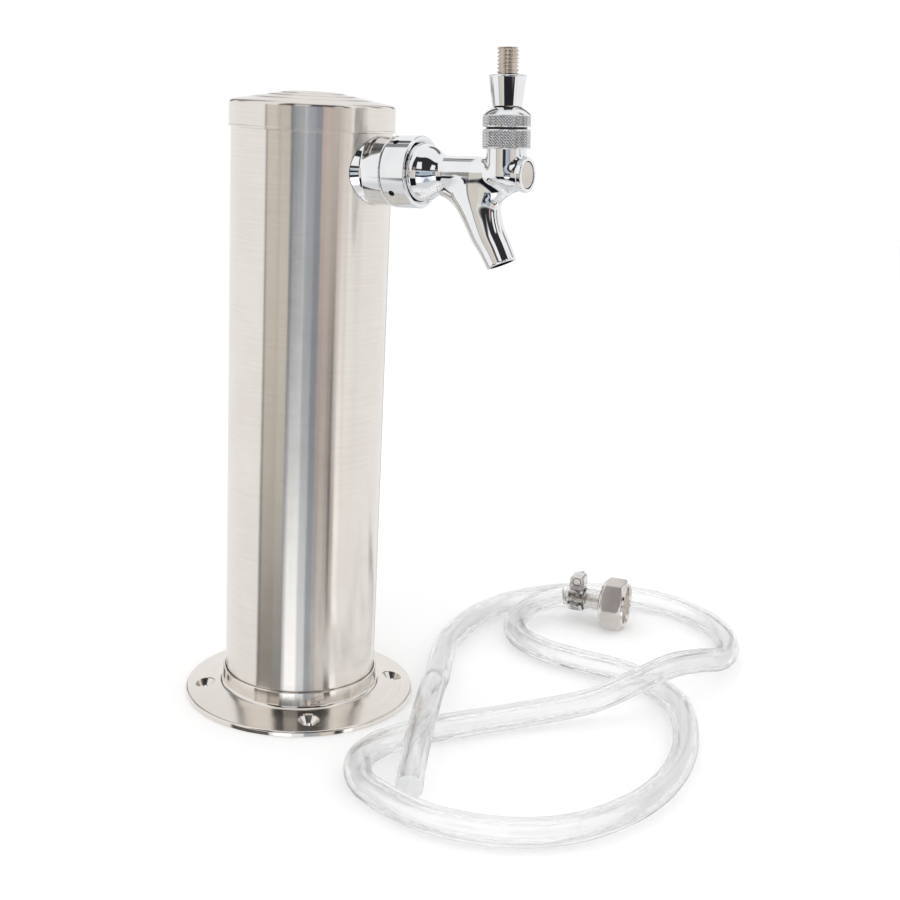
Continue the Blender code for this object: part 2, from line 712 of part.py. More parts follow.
def make_faucet_body():
    along = {"parent": shank_frame, "turn": outwards}
    stack = {"parent": lever_frame}
    fillet_front = bell_front + barrel_fillet
    bell_side = bell_front - flange_front - coupling_lip
    bell_curve = [
        (barrel_radius + barrel_fillet * (1 - math.sin(a)), fillet_front - barrel_fillet * math.cos(a))
        for a in (math.pi / 2 * (1 - i / (bell_steps + 1)) for i in range(bell_steps + 1))]
    bell_swell = bell_radius - bell_curve[-1][0]
    bell_arc = [
        (bell_curve[-1][0] + bell_swell * math.sin(a),
         bell_curve[-1][1] - bell_side * (1 - math.cos(a)))
        for a in (math.pi / 2 * i / bell_steps for i in range(1, bell_steps + 1))]
    profile = [
        (0, boss_face), (boss_rim_radius - boss_break, boss_face), (boss_rim_radius, boss_face - boss_break),
        (boss_rim_radius, boss_face - boss_rim_length),
        (boss_radius, boss_face - boss_rim_length - boss_rim_radius + boss_radius),
        (boss_radius, lever_out - neck_radius), (barrel_radius, lever_out - neck_radius - barrel_fillet)]
    profile += bell_curve + bell_arc
    profile += [
        (bell_radius, flange_front), (faucet_flange_radius, flange_front),
        (faucet_flange_radius, flange_back), (0, flange_back)]
    body = turned("faucet_body", profile, False, finish="chrome", **along)
    neck_profile = [
        (0, body_top), (body_thread_radius, body_top), (body_thread_radius, ring_top),
        (ring_radius - ring_break, ring_top), (ring_radius, ring_top - ring_break),
        (ring_radius, ring_bottom + ring_break), (ring_radius - ring_break, ring_bottom),
        (neck_radius, ring_bottom)]
    neck_profile += [
        (neck_radius * math.cos(a), -neck_end * math.sin(a))
        for a in (math.pi / 2 * i / (bell_steps + 1) for i in range(bell_steps + 1))]
    neck_profile += [(0, -neck_end)]
    neck = turned("faucet_neck", neck_profile, False, **stack)
    spout = loft(
        "faucet_spout",
        spout_rings([s * spout_tip_radius for s in spout_depth_shares],
                    [s * spout_tip_radius for s in spout_width_shares], 0),
        parent=shank_frame)
    join(body, neck, spout)
    straight = [spout_bore_radius] * len(spout_out_shares)
    seat_front = seat_face + seat_length
    bores = turned(
        "shaft_bores",
        [(0, boss_face + cut_overrun), (shaft_bore_radius, boss_face + cut_overrun),
         (shaft_bore_radius, seat_front), (seat_hole_radius, seat_front), (seat_hole_radius, seat_face),
         (chamber_radius, seat_face), (chamber_radius, flange_back - cut_overrun),
         (0, flange_back - cut_overrun)],
        False, small_steps, parent=shank_frame, turn=outwards_twisted)
    socket = turned(
        "ball_socket",
        [(0, body_top + cut_overrun), (socket_radius, body_top + cut_overrun), (socket_radius, socket_floor),
         (tongue_hole_radius, socket_floor), (tongue_hole_radius, 0), (0, 0)],
        False, small_steps, parent=lever_frame, turn=(0, 0, cutter_twist))
    cut(body, bores, socket, loft("spout_bore", spout_rings(straight, straight, cut_overrun), parent=shank_frame))


def make_bonnet():
    stack = {"parent": lever_frame}
    dome_edge = sphere_height(bonnet_dome_radius, ring_radius - ring_break)
    angle_edge = math.degrees(math.atan2(dome_edge, ring_radius - ring_break))
    profile = arc((0, pivot_height), bonnet_dome_radius, 90, angle_edge, ball_arc_steps)
    cavity = body_thread_radius + thread_clearance
    boss = socket_radius - touch_gap
    profile += [
        (ring_radius, pivot_height + dome_edge - ring_break), (ring_radius, bonnet_bottom + ring_break),
        (ring_radius - ring_break, bonnet_bottom), (cavity, bonnet_bottom),
        (cavity, body_top + touch_gap), (boss, body_top + touch_gap), (boss, bonnet_bottom),
        (0, bonnet_bottom)]
    bonnet = turned("bonnet", profile, False, finish="chrome", **stack)
    # The opening leans forward by half the travel and widens upwards, so the neck can swing in it
    opening_low = lever_neck_radius + touch_gap
    opening_height = bonnet_dome_radius + cut_overrun
    opening = cylinder(
        "bonnet_opening", opening_low, 0, opening_height,
        radius_top=opening_low + opening_height * math.tan(lever_travel / 2 + lever_margin),
        parent=pivot_frame, turn=(lever_travel / 2, 0, 0))
    cut(bonnet, opening, sphere("bonnet_seat", ball_radius + touch_gap + merge_distance, (0, 0, pivot_height), **stack))
    seat = ball_radius + touch_gap
    cup_top = pivot_height - cup_top_drop
    cup_bottom = socket_floor + touch_gap
    low = -math.degrees(math.acos(cup_bore_radius / seat))
    high = -math.degrees(math.asin(cup_top_drop / seat))
    turned(
        "lever_bearing_cup",
        [(boss, cup_top), (boss, cup_bottom), (cup_bore_radius, cup_bottom)]
        + arc((0, pivot_height), seat, low, high),
        True, finish="white_plastic", **stack)
    washer_bottom = pivot_height + friction_washer_rise
    washer_top = washer_bottom + friction_washer_height
    low = math.degrees(math.asin(friction_washer_rise / seat))
    high = math.degrees(math.asin((friction_washer_rise + friction_washer_height) / seat))
    turned(
        "lever_friction_washer",
        [(boss, washer_top), (boss, washer_bottom)] + arc((0, pivot_height), seat, low, high, 3),
        True, finish="rubber", **stack)


def make_lever():
    """The lever and its ferrule turn about the ball, so their heights are counted from it."""
    swing = {"parent": lever_pivot}
    neck_angle = math.degrees(math.acos(lever_neck_radius / ball_radius))
    tongue_angle = -math.degrees(math.acos(tongue_radius / ball_radius))
    tip_angle = math.degrees(math.acos(tongue_radius / tongue_tip_radius))
    profile = [
        (0, stud_top - pivot_height), (stud_radius - stud_break, stud_top - pivot_height),
        (stud_radius, stud_top - pivot_height - stud_break), (stud_radius, stud_rise),
        (lever_neck_radius, stud_rise)]
    profile += arc((0, 0), ball_radius, neck_angle, tongue_angle, ball_arc_steps)
    profile += arc((0, -pivot_height), tongue_tip_radius, tip_angle, -90)
    profile[-1] = (0, profile[-1][1])
    turned("ball_lever", profile, False, small_steps, finish="nickel", **swing)
    top = ferrule_rise
    bore = stud_radius + thread_clearance
    low = math.degrees(math.acos(ferrule_waist_radius / ferrule_sphere_radius))
    high = math.degrees(math.acos(bore / ferrule_sphere_radius))
    profile = [(bore, top)]
    profile += arc((ferrule_top_radius - ferrule_round, top - ferrule_round), ferrule_round, 90, 0, 4)
    profile += arc((0, 0), ferrule_sphere_radius, low, high, 3)
    turned("lever_ferrule", profile, True, finish="chrome", **swing)


def make_shaft():
    along = {"parent": shaft_frame, "turn": outwards}
    shoulder_back = seat_washer_front + touch_gap
    groove_front = shaft_front - friction_ring_setback
    groove_back = groove_front - friction_ring_height - 2 * touch_gap
    groove = friction_ring_radius - friction_ring_wall - touch_gap
    shaft = turned(
        "faucet_shaft",
        [(0, shaft_front), (shaft_head_radius - shaft_break, shaft_front),
         (shaft_head_radius, shaft_front - shaft_break), (shaft_head_radius, groove_front),
         (groove, groove_front), (groove, groove_back), (shaft_head_radius, groove_back),
         (shaft_head_radius, shaft_head_back), (shaft_rod_radius, shaft_head_back),
         (shaft_rod_radius, shoulder_back + shaft_shoulder_length),
         (shaft_shoulder_radius, shoulder_back + shaft_shoulder_length),
         (shaft_shoulder_radius, shoulder_back), (shaft_rod_radius, shoulder_back),
         (shaft_rod_radius, shaft_end), (0, shaft_end)],
        False, small_steps, finish="nickel", **along)
    side = shaft_bore_radius + cut_overrun
    cut(
        shaft,
        box("shaft_notch", (-side, -lever_out - notch_ahead, notch_floor),
            (side, notch_behind - lever_out, side), parent=shaft_frame),
        box("shaft_slot", (-slot_side, -lever_out - slot_half_width, -slot_floor),
            (slot_side, slot_half_width - lever_out, side), parent=shaft_frame))
    ring_front = groove_front - touch_gap
    turned(
        "shaft_friction_ring",
        [(friction_ring_radius, ring_front), (friction_ring_radius, ring_front - friction_ring_height),
         (friction_ring_radius - friction_ring_wall, ring_front - friction_ring_height),
         (friction_ring_radius - friction_ring_wall, ring_front)],
        True, small_steps, finish="rubber", **along)
    hole = shaft_rod_radius + thread_clearance
    washer_back = seat_washer_front - seat_washer_height
    turned(
        "shaft_seat_washer",
        [(seat_washer_radius, seat_washer_front), (seat_washer_radius, washer_back), (hole, washer_back),
         (hole, seat_washer_front)],
        True, small_steps, finish="rubber", **along)
    nut_front = washer_back - touch_gap
    nut = prism(
        "shaft_nut", shaft_nut_across_flats, nut_front - shaft_nut_height, nut_front, finish="brass", **along)
    cut(nut, cylinder("shaft_nut_bore", hole, shaft_end - cut_overrun, seat_face, **along))


def smooth_route(route, count):
    """Evenly spaced points on a smooth curve through the route's own points."""
    points = [Vector(point) * MM for point in route]
    points = [2 * points[0] - points[1]] + points + [2 * points[-1] - points[-2]]
    fine = []
    per_span = 24
    for p0, p1, p2, p3 in zip(points, points[1:], points[2:], points[3:]):
        for i in range(per_span):
            t = i / per_span
            fine.append(0.5 * (2 * p1 + (p2 - p0) * t + (2 * p0 - 5 * p1 + 4 * p2 - p3) * t * t
                               + (3 * p1 - p0 - 3 * p2 + p3) * t * t * t))
    fine.append(points[-2])
    lengths = [0]
    for a, b in zip(fine, fine[1:]):
        lengths.append(lengths[-1] + (b - a).length)
    total = lengths[-1]
    spaced = []
    k = 0
    for i in range(count):
        target = total * i / (count - 1)
        while k < len(lengths) - 2 and lengths[k + 1] < target:
            k += 1
        share = (target - lengths[k]) / (lengths[k + 1] - lengths[k])
        spaced.append(fine[k].lerp(fine[k + 1], min(share, 1)))
    return spaced, total


def make_line():
    points, length = smooth_route(line_route, line_section_count)
    print(f"beer line: {length / MM:.0f} mm long, {len(points)} sections")
    least = min(
        (points[i] - points[j]).length
        for i in range(len(points)) for j in range(i + 4, len(points)))
    print(f"beer line: its middle comes within {least / MM:.1f} mm of itself")
    line = tube_curve(
        "beer_line", points, line_radius, line_bevel_resolution, finish="clear_pvc", parent=line_frame)
    cut(line, cylinder(
        "barb_pocket", tailpiece_barb_radius + barb_step + touch_gap, -tailpiece_barb_length - touch_gap,
        cut_overrun, parent=nut_frame, turn=along_nut))


def make_line_nut():
    along = {"parent": nut_frame, "turn": along_nut}
    web_front = nut_start + nut_web
    nut_front = nut_start + nut_length
    nut = prism("swivel_nut", nut_across_flats, nut_start, nut_front, finish="nickel", **along)
    chamfer = nut_across_flats / 2
    cap = turned(
        "nut_chamfer",
        [(0, nut_front), (chamfer - nut_start / 2, nut_front), (chamfer + nut_web, nut_front - nut_web / 2),
         (chamfer + nut_web, nut_start + nut_web / 2), (chamfer - nut_start / 2, nut_start), (0, nut_start)],
        False, **along)
    boolean(nut, cap, "INTERSECT")
    cut(
        nut,
        cylinder("nut_bore", nut_bore_radius, web_front, nut_front + cut_overrun, **along),
        cylinder("nut_web_hole", nut_web_hole_radius, 0, web_front + cut_overrun, **along))
    flange_bottom = web_front + touch_gap
    flange_top = flange_bottom + tailpiece_flange_height
    profile = [
        (tailpiece_flange_radius, flange_top), (tailpiece_flange_radius, flange_bottom),
        (tailpiece_neck_radius, flange_bottom), (tailpiece_neck_radius, touch_gap)]
    profile += barbs(0, tailpiece_barb_radius, barb_step, tailpiece_barb_length / 5, 5)
    profile += [(tailpiece_bore_radius, -tailpiece_barb_length), (tailpiece_bore_radius, flange_top)]
    turned("tailpiece", profile, True, small_steps, finish="nickel", **along)
    washer_bottom = flange_top + touch_gap
    turned(
        "tailpiece_washer",
        [(tailpiece_flange_radius, washer_bottom + line_washer_height), (tailpiece_flange_radius, washer_bottom),
         (line_washer_bore, washer_bottom), (line_washer_bore, washer_bottom + line_washer_height)],
        True, small_steps, finish="white_plastic", **along)


def make_clamp():
    along = {"parent": nut_frame, "turn": along_nut}
    low = -clamp_place - clamp_width / 2
    high = -clamp_place + clamp_width / 2
    band = turned(
        "clamp_band",
        [(clamp_outer, high), (clamp_outer, low), (clamp_inner, low), (clamp_inner, high)],
        True, small_steps, finish="nickel", **along)
    for i in range(clamp_slot_count):
        angle = math.pi / 2 + (i - (clamp_slot_count - 1) / 2) * clamp_slot_pitch
        slot = box(
            f"clamp_slot_{i}",
            (clamp_inner - cut_overrun / 2, -clamp_slot_width / 2, -clamp_slot_length / 2),
            (clamp_outer + cut_overrun / 2, clamp_slot_width / 2, clamp_slot_length / 2),
            parent=clamp_frame, turn=(0, 0, angle))
        cut(band, slot)
    base = clamp_outer + touch_gap
    housing = box(
        "clamp_housing", (base - clamp_thickness, -housing_length / 2, -clamp_width / 2),
        (base + housing_height, housing_length / 2, clamp_width / 2), finish="nickel", parent=clamp_frame)
    bevel = housing.modifiers.new("rounded", "BEVEL")
    bevel.width = housing_wall / 2
    bevel.segments = 2
    screw_centre = base + housing_wall + screw_radius + touch_gap
    reach = housing_length / 2
    cut(
        housing,
        cylinder("band_space", clamp_outer + touch_gap, -clamp_width, clamp_width, parent=clamp_frame),
        cylinder("screw_space", screw_radius + touch_gap, -housing_length, housing_length,
                 parent=clamp_frame, place=(screw_centre, 0, 0), turn=(math.pi / 2, 0, 0)))
    head_back = reach + touch_gap
    screw = turned(
        "clamp_screw",
        [(0, head_back + screw_head_length), (screw_head_radius, head_back + screw_head_length),
         (screw_head_radius, head_back), (screw_radius, head_back), (screw_radius, -reach), (0, -reach)],
        False, small_steps, finish="nickel", parent=clamp_frame, place=(screw_centre, 0, 0),
        turn=(math.pi / 2, 0, 0))
    head_end = head_back + screw_head_length
    cut(screw, box(
        "screw_slot", (screw_centre - screw_slot / 2, -head_end - cut_overrun, -clamp_width),
        (screw_centre + screw_slot / 2, screw_head_length / 2 - head_end, clamp_width), parent=clamp_frame))


clear_scene()
parts = new_collection("beer_tower")
cutters = new_collection("cutters")

# Turned pieces on the shank point their own Z out along -Y, and on the nut along its socket
outwards = (math.pi / 2, 0, 0)
# A cutter turned a little has no corner on an edge of what it cuts
outwards_twisted = (math.pi / 2, -cutter_twist, 0)
along_nut = (0, math.pi / 2, 0)
# The clamp's own Z lies along the hose, with its housing on top
clamp_turn = (0, -math.pi / 2, math.pi)

shank_frame = add_empty("shank_frame", (0, -column_radius, shank_height), (-shank_rise, 0, 0))
coupling_frame = add_empty("coupling_frame", (0, 0, 0), outwards, shank_frame)
lever_frame = add_empty("lever_frame", (0, -lever_out, 0), parent=shank_frame)
pivot_frame = add_empty("pivot_frame", (0, 0, pivot_height), parent=lever_frame)
lever_pivot = add_empty("lever_pivot", (0, 0, pivot_height), parent=lever_frame)
shaft_frame = add_empty("shaft_frame", (0, 0, 0), parent=shank_frame)
cap_lift = add_empty("cap_lift", (0, 0, 0))
line_frame = add_empty("line_frame", (0, 0, 0), (0, 0, line_turn))
nut_frame = add_empty("nut_frame", nut_place, (0, 0, nut_turn), line_frame)
clamp_frame = add_empty("clamp_frame", (-clamp_place, 0, 0), clamp_turn, nut_frame)
bpy.context.view_layer.update()

make_base()
make_column()
make_cap()
make_shank()
make_shank_inside()
make_faucet_body()
make_bonnet()
make_lever()
make_shaft()
make_line()
make_line_nut()
make_clamp()
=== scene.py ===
# %% [markdown]
# # A beer tower with its faucet and beer line
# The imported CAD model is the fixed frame: a column on a round flange, a shank with a faucet, and a
# loose clear hose. This notebook dresses it. Nearly every piece that can be seen is worked out
# again as a fine surface with numpy, in the same place as its CAD node, and gets a metal, rubber
# or plastic that is made of nodes.

# %% Load the frame
import math

import bmesh
import bpy
import numpy as np
from mathutils import Matrix, Vector


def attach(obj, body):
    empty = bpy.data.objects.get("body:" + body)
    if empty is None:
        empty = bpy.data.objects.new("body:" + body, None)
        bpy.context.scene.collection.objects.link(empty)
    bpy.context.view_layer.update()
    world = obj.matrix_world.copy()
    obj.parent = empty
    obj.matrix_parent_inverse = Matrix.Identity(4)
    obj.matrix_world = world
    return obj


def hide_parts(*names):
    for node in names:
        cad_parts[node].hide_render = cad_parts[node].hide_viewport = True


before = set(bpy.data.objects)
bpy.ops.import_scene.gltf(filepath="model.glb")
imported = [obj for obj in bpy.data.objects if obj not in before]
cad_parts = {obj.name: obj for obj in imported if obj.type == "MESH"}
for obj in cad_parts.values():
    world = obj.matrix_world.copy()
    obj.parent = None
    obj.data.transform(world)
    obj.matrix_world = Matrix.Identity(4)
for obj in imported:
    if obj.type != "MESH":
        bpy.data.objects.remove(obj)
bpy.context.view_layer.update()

MM = 0.001
TAU = 2 * np.pi


def linked(name, data):
    """A new object with this data, in the scene."""
    made = bpy.data.objects.new(name, data)
    bpy.context.scene.collection.objects.link(made)
    return made


# %% [markdown]
# ## Camera
# The photograph was taken from a little above the cap, half to the side of the faucet. The camera's
# place and turn come from fitting a pinhole camera to the outlines of the column, the cap, the
# flange and the rings of the shank: 1366 pixels of focal length on an image 900 pixels wide.

# %% Camera
LINE_TURN = math.radians(-53.9)     # picture right, seen from above, in the part's frame
FOCAL_PIXELS, IMAGE_PIXELS, SENSOR = 1366, 900, 36
CAMERA_PLACE = Vector((-536.2, -391.0, 302.65)) * MM
CAMERA_YAW, CAMERA_PITCH, CAMERA_ROLL = (math.radians(a) for a in (6.26, 14.53, 2.88))

forward = Vector((math.sin(CAMERA_YAW) * math.cos(CAMERA_PITCH),
                  math.cos(CAMERA_YAW) * math.cos(CAMERA_PITCH), -math.sin(CAMERA_PITCH)))
level = Vector((math.cos(CAMERA_YAW), -math.sin(CAMERA_YAW), 0))
above = level.cross(forward)
right = math.cos(CAMERA_ROLL) * level + math.sin(CAMERA_ROLL) * above
upward = -math.sin(CAMERA_ROLL) * level + math.cos(CAMERA_ROLL) * above
turn = Matrix.Rotation(LINE_TURN, 3, "Z") @ Matrix((right, upward, -forward)).transposed()

camera_data = bpy.data.cameras.new("camera")
camera_data.sensor_width = SENSOR
camera_data.lens = FOCAL_PIXELS * SENSOR / IMAGE_PIXELS
camera_data.clip_start = 0.01
camera = linked("camera", camera_data)
camera.matrix_world = Matrix.Translation(CAMERA_PLACE) @ turn.to_4x4()
bpy.context.scene.camera = camera
print(f"camera: lens {camera_data.lens:.1f} mm, {CAMERA_PLACE.length:.3f} m from the base's middle")

# %% [markdown]
# ## Shader maths as Python
# A material here is a short expression. `Socket` wraps one output of a node, so that `a * b + 0.2`
# adds the Math nodes that do it, and `a.node(...)` adds a node of any other kind beside it. Numbers
# alone are worked out in Python and never become nodes.

# %% Sockets that can be added and multiplied
class Socket:
    """One output of a shader node, or a bare tree that has none yet."""

    def __init__(self, tree, output=None):
        self.tree, self.output = tree, output

    def node(self, kind, settings=None, inputs=None, output=0):
        """Adds any node to the tree: its settings first, then the values or links of its sockets."""
        made = self.tree.nodes.new(kind)
        for name, value in (settings or {}).items():
            setattr(made, name, value)
        for key, value in (inputs or {}).items():
            if isinstance(value, Socket):
                self.tree.links.new(value.output, made.inputs[key])
            else:
                made.inputs[key].default_value = value
        return Socket(self.tree, made.outputs[output])

    def maths(self, operation, *others):
        """A Math node on this socket and the others."""
        return self.node("ShaderNodeMath", {"operation": operation}, dict(enumerate((self, *others))))

    def __add__(self, other):
        return self.maths("ADD", other)

    def __sub__(self, other):
        return self.maths("SUBTRACT", other)

    def __rsub__(self, other):
        return self.node("ShaderNodeMath", {"operation": "SUBTRACT"}, {0: other, 1: self})

    def __mul__(self, other):
        return self.maths("MULTIPLY", other)

    def __truediv__(self, other):
        return self.maths("DIVIDE", other)

    __radd__, __rmul__ = __add__, __mul__


# %% Steps, bands, parts and mixes
def step(value, start, end):
    """0 before start, 1 past end, and 3 s^2 - 2 s^3 between them, s being the share of the way."""
    return value.node("ShaderNodeMapRange", {"interpolation_type": "SMOOTHSTEP"},
                      {0: value, 1: start, 2: end, 3: 0.0, 4: 1.0})


def band(value, start, end, soft):
    """1 between start and end, 0 outside, with a step of twice soft at either edge."""
    return step(value, start - soft, start + soft) * (1 - step(value, end - soft, end + soft))


def parts_of(vector):
    """The X, Y and Z of a vector socket."""
    return [vector.node("ShaderNodeSeparateXYZ", inputs={0: vector}, output=i) for i in range(3)]


def mix(mask, under, over):
    """The colour under where the mask is 0, the colour over where it is 1. Both may be sockets."""
    under, over = ((*c, 1) if isinstance(c, tuple) else c for c in (under, over))
    return mask.node("ShaderNodeMix", {"data_type": "RGBA"}, {0: mask, 6: under, 7: over}, output=2)


# %% [markdown]
# ## Studio
# The object stands on a plain white floor in a white room. Polished metal only looks like metal if
# it has something dark to reflect, so the room has a few grey and black screens. They are bands in
# the world, by compass direction, which only reflections see: the light that falls on the object is
# an even white. Each band stands where the photograph's column and chrome show one. Black and grey
# planes round the object could do the same, but they would shade the floor as well.

# %% World, and where a direction points
world = bpy.data.worlds.new("studio")
bpy.context.scene.world = world
world.use_nodes = True
world.node_tree.nodes.clear()
east, north, up = parts_of(Socket(world.node_tree).node("ShaderNodeTexCoord"))
compass = north.maths("ARCTAN2", east) * math.degrees(1)
compass = compass + 360 * compass.maths("LESS_THAN", 0.0)
height = up.maths("ARCSINE") * math.degrees(1)
print(f"directions: compass and height from {len(world.node_tree.nodes)} nodes")

# %% Screens
# Upright screens that the column reflects: compass from and to, and the colours seen there from
# the column's upper part and from its foot
upright_screens = [
    (145.5, 149.0, (0.93, 0.93, 0.93), (0.04, 0.04, 0.05)),
    (149.0, 152.5, (0.30, 0.29, 0.28), (0.20, 0.20, 0.20)),
    (152.5, 174.0, (0.66, 0.62, 0.56), (0.54, 0.52, 0.48)),
    (174.0, 187.0, (0.72, 0.69, 0.62), (0.60, 0.62, 0.65)),
    (187.0, 191.0, (0.20, 0.24, 0.30), (1.00, 1.05, 1.10)),
    (191.0, 199.0, (0.40, 0.46, 0.54), (1.60, 1.65, 1.70)),
    (199.0, 209.0, (0.54, 0.60, 0.68), (1.60, 1.65, 1.70)),
    (209.0, 221.0, (0.42, 0.48, 0.56), (0.95, 1.00, 1.08)),
    (221.0, 231.0, (0.34, 0.38, 0.45), (0.42, 0.46, 0.52)),
    (231.0, 238.0, (0.72, 0.60, 0.56), (0.46, 0.47, 0.50)),
    (238.0, 252.0, (0.72, 0.65, 0.61), (0.72, 0.68, 0.64)),
    (252.0, 262.0, (0.68, 0.61, 0.57), (0.02, 0.02, 0.03)),
    (262.0, 272.0, (0.80, 0.76, 0.73), (1.35, 1.35, 1.35)),
]
# Screens that the chrome reflects: compass from and to, height from and to, softness of the edges,
# and colour. The last seven stand behind the object, so that its back has something to reflect too
level_screens = [
    (145.5, 186.0, -50, -22, 1.0, (0.01, 0.01, 0.015)),
    (245.5, 255.0, -18, -8, 1.0, (0.03, 0.03, 0.04)),
    (256.0, 268.0, -15, -8, 1.0, (0.93, 0.93, 0.93)),
    (186.0, 250.0, -16, -10, 0.5, (0.02, 0.02, 0.025)),
    (190.0, 206.0, -3, 2, 0.5, (0.03, 0.03, 0.035)),
    (168.0, 270.0, 8, 62, 1.0, (0.03, 0.03, 0.035)),
    (190.0, 213.0, 15, 42, 1.0, (0.93, 0.93, 0.93)),
    (173.0, 186.0, 10, 20, 1.0, (0.36, 0.23, 0.18)),
    (230.0, 239.0, 9, 18, 1.0, (0.50, 0.36, 0.31)),
    (247.0, 260.0, 12, 30, 1.0, (0.92, 0.92, 0.92)),
    (284.0, 296.0, 1, 30, 3.0, (0.40, 0.40, 0.41)),
    (318.0, 338.0, 20, 60, 3.0, (0.25, 0.25, 0.26)),
    (74.0, 98.0, 20, 60, 3.0, (0.25, 0.25, 0.26)),
    (56.0, 70.0, 6, 58, 2.0, (0.10, 0.10, 0.11)),
    (2.0, 14.0, 6, 52, 2.0, (0.16, 0.16, 0.17)),
    (18.0, 26.0, -40, -3, 2.0, (0.45, 0.46, 0.48)),
    (26.0, 38.0, -40, -3, 2.0, (0.66, 0.67, 0.69)),
]
print(len(upright_screens), "upright screens and", len(level_screens), "level ones")

# %% The room as reflections see it
# Downwards it is greyer. The column's foot reflects lower down than its upper part, so each screen
# has two colours, and above 9 degrees only the level screens are left
seen = mix(0.4 * band(height, -62.0, -30.0, 8.0), (0.93, 0.93, 0.935), (0.40, 0.41, 0.43))
foot = step(height, -15.5, -20.0)
shown_between = step(height, 9.0, 4.0) * step(height, -41.0, -35.0)
for west_end, east_end, upper, lower in upright_screens:
    across = band(compass, west_end, east_end, 0.7) * shown_between
    seen = mix(across * (1 - foot), seen, upper)
    seen = mix(across * foot, seen, lower)
for west_end, east_end, low, high, soft, colour in level_screens:
    seen = mix(band(compass, west_end, east_end, soft) * band(height, low, high, 2 * soft), seen, colour)
room = mix(compass.node("ShaderNodeLightPath", output="Is Glossy Ray"), (1.03, 1.03, 1.03), seen)
shown = room.node("ShaderNodeBackground", inputs={0: room, 1: 1.0})
world_end = world.node_tree.nodes.new("ShaderNodeOutputWorld")
world.node_tree.links.new(shown.output, world_end.inputs[0])
print(f"world: {len(world.node_tree.nodes)} nodes, an even white but for reflections")

# %% [markdown]
# ## Surfaces from numpy
# Most pieces here were turned on a lathe or drawn through a die, so their surfaces are a profile
# carried round an axis. Blender's Spin could turn them too. Arrays are chosen because a thread or a
# knurl is then a small change of the radius, and every size stays a number that can be read. Each
# helper works on whole arrays of points in millimetres, and one function at the end turns a grid of
# points into a mesh.

# %% Frames on the shank, the lever and the nut
RISE = math.radians(2.6)            # the shank rises towards its front
COLUMN_RADIUS, SHANK_HEIGHT, LEVER_OUT = 38.1, 267.5, 66.5
SIDE = np.array([1.0, 0.0, 0.0])
OUT = np.array([0.0, -math.cos(RISE), math.sin(RISE)])
UP = np.array([0.0, math.sin(RISE), math.cos(RISE)])
SHANK = np.array([0.0, -COLUMN_RADIUS, SHANK_HEIGHT])
LEVER = SHANK + LEVER_OUT * OUT

NUT_MIDDLE, NUT_AXIS, NUT_SIDE = (np.array(v) for v in (
    (180.02, -89.03, 13.8), (0.19252, -0.98129, 0.0), (0.98129, 0.19252, 0.0)))
FLATS, NUT_BACK, NUT_FRONT = 27.0, 1.5, 16.5
CONE_RADIUS, CONE_SLOPE, CONE_BACK, CONE_FRONT = 12.8, 0.62, 2.5, 15.2

# A frame is an origin and three axes, of which the last is the one that things are turned about
TOWER_FRAME = (np.zeros(3), *np.eye(3))
SHANK_FRAME = (SHANK, UP, -SIDE, OUT)
LEVER_FRAME = (LEVER, SIDE, -OUT, UP)
NUT_FRAME = (NUT_MIDDLE, NUT_SIDE, np.array([0.0, 0.0, 1.0]), NUT_AXIS)
print("lever at", np.round(LEVER, 1), "and nut at", NUT_MIDDLE, "mm")


def put(frame_axes, x, y, along):
    """Points at x and y across a frame's axis, and at a place along it."""
    origin, first, second, axis = frame_axes
    return origin + x[..., None] * first + y[..., None] * second + along[..., None] * axis


# %% A profile with rounded corners
def rounded(corners, closed=True, steps=4):
    """Outline through (radius, height, fillet) corners, each cut by an arc that touches both sides."""
    corner = np.array([c[:2] for c in corners], float)
    outline = []
    for i, (_, _, fillet) in enumerate(corners):
        here, back, on = corner[i], corner[i - 1], corner[(i + 1) % len(corner)]
        if not fillet or (not closed and i in (0, len(corner) - 1)):
            outline.append(here)
            continue
        a, b = back - here, on - here
        reach_a, reach_b = np.linalg.norm(a), np.linalg.norm(b)
        a, b = a / reach_a, b / reach_b
        half = math.acos(np.clip(a @ b, -1, 1)) / 2
        reach = min(fillet / math.tan(half), 0.48 * reach_a, 0.48 * reach_b)
        radius = reach * math.tan(half)
        centre = here + (a + b) / np.linalg.norm(a + b) * radius / math.sin(half)
        start, end = here + a * reach - centre, here + b * reach - centre
        first = math.atan2(start[1], start[0])
        sweep = (math.atan2(end[1], end[0]) - first + math.pi) % TAU - math.pi
        angle = first + sweep * np.linspace(0, 1, steps + 1)
        outline.extend(centre + radius * np.stack([np.cos(angle), np.sin(angle)], 1))
    return held(np.array(outline), closed)


def held(outline, closed, gap=0.12):
    """The outline with points a gap from both ends of each long side, which keep its shading flat."""
    made = []
    last = len(outline) if closed else len(outline) - 1
    for i, here in enumerate(outline):
        side = outline[(i + 1) % len(outline)] - here
        length = np.linalg.norm(side)
        made.append(here)
        if i < last and length > 5 * gap:
            made += [here + side * gap / length, here + side * (1 - gap / length)]
    return np.array(made)


# %% A profile carried round an axis
def lathe(outline, frame_axes, turns=96, shape=None):
    """Point (i, j) = axis point at height i + radius i turned by angle j. shape may move both."""
    outline = np.asarray(outline, float)
    angle = np.arange(turns) * TAU / turns
    radius = np.repeat(outline[:, :1], turns, axis=1)
    along = np.repeat(outline[:, 1:], turns, axis=1)
    if shape:
        radius, along = shape(radius, along, angle)
    return put(frame_axes, radius * np.cos(angle), radius * np.sin(angle), along)


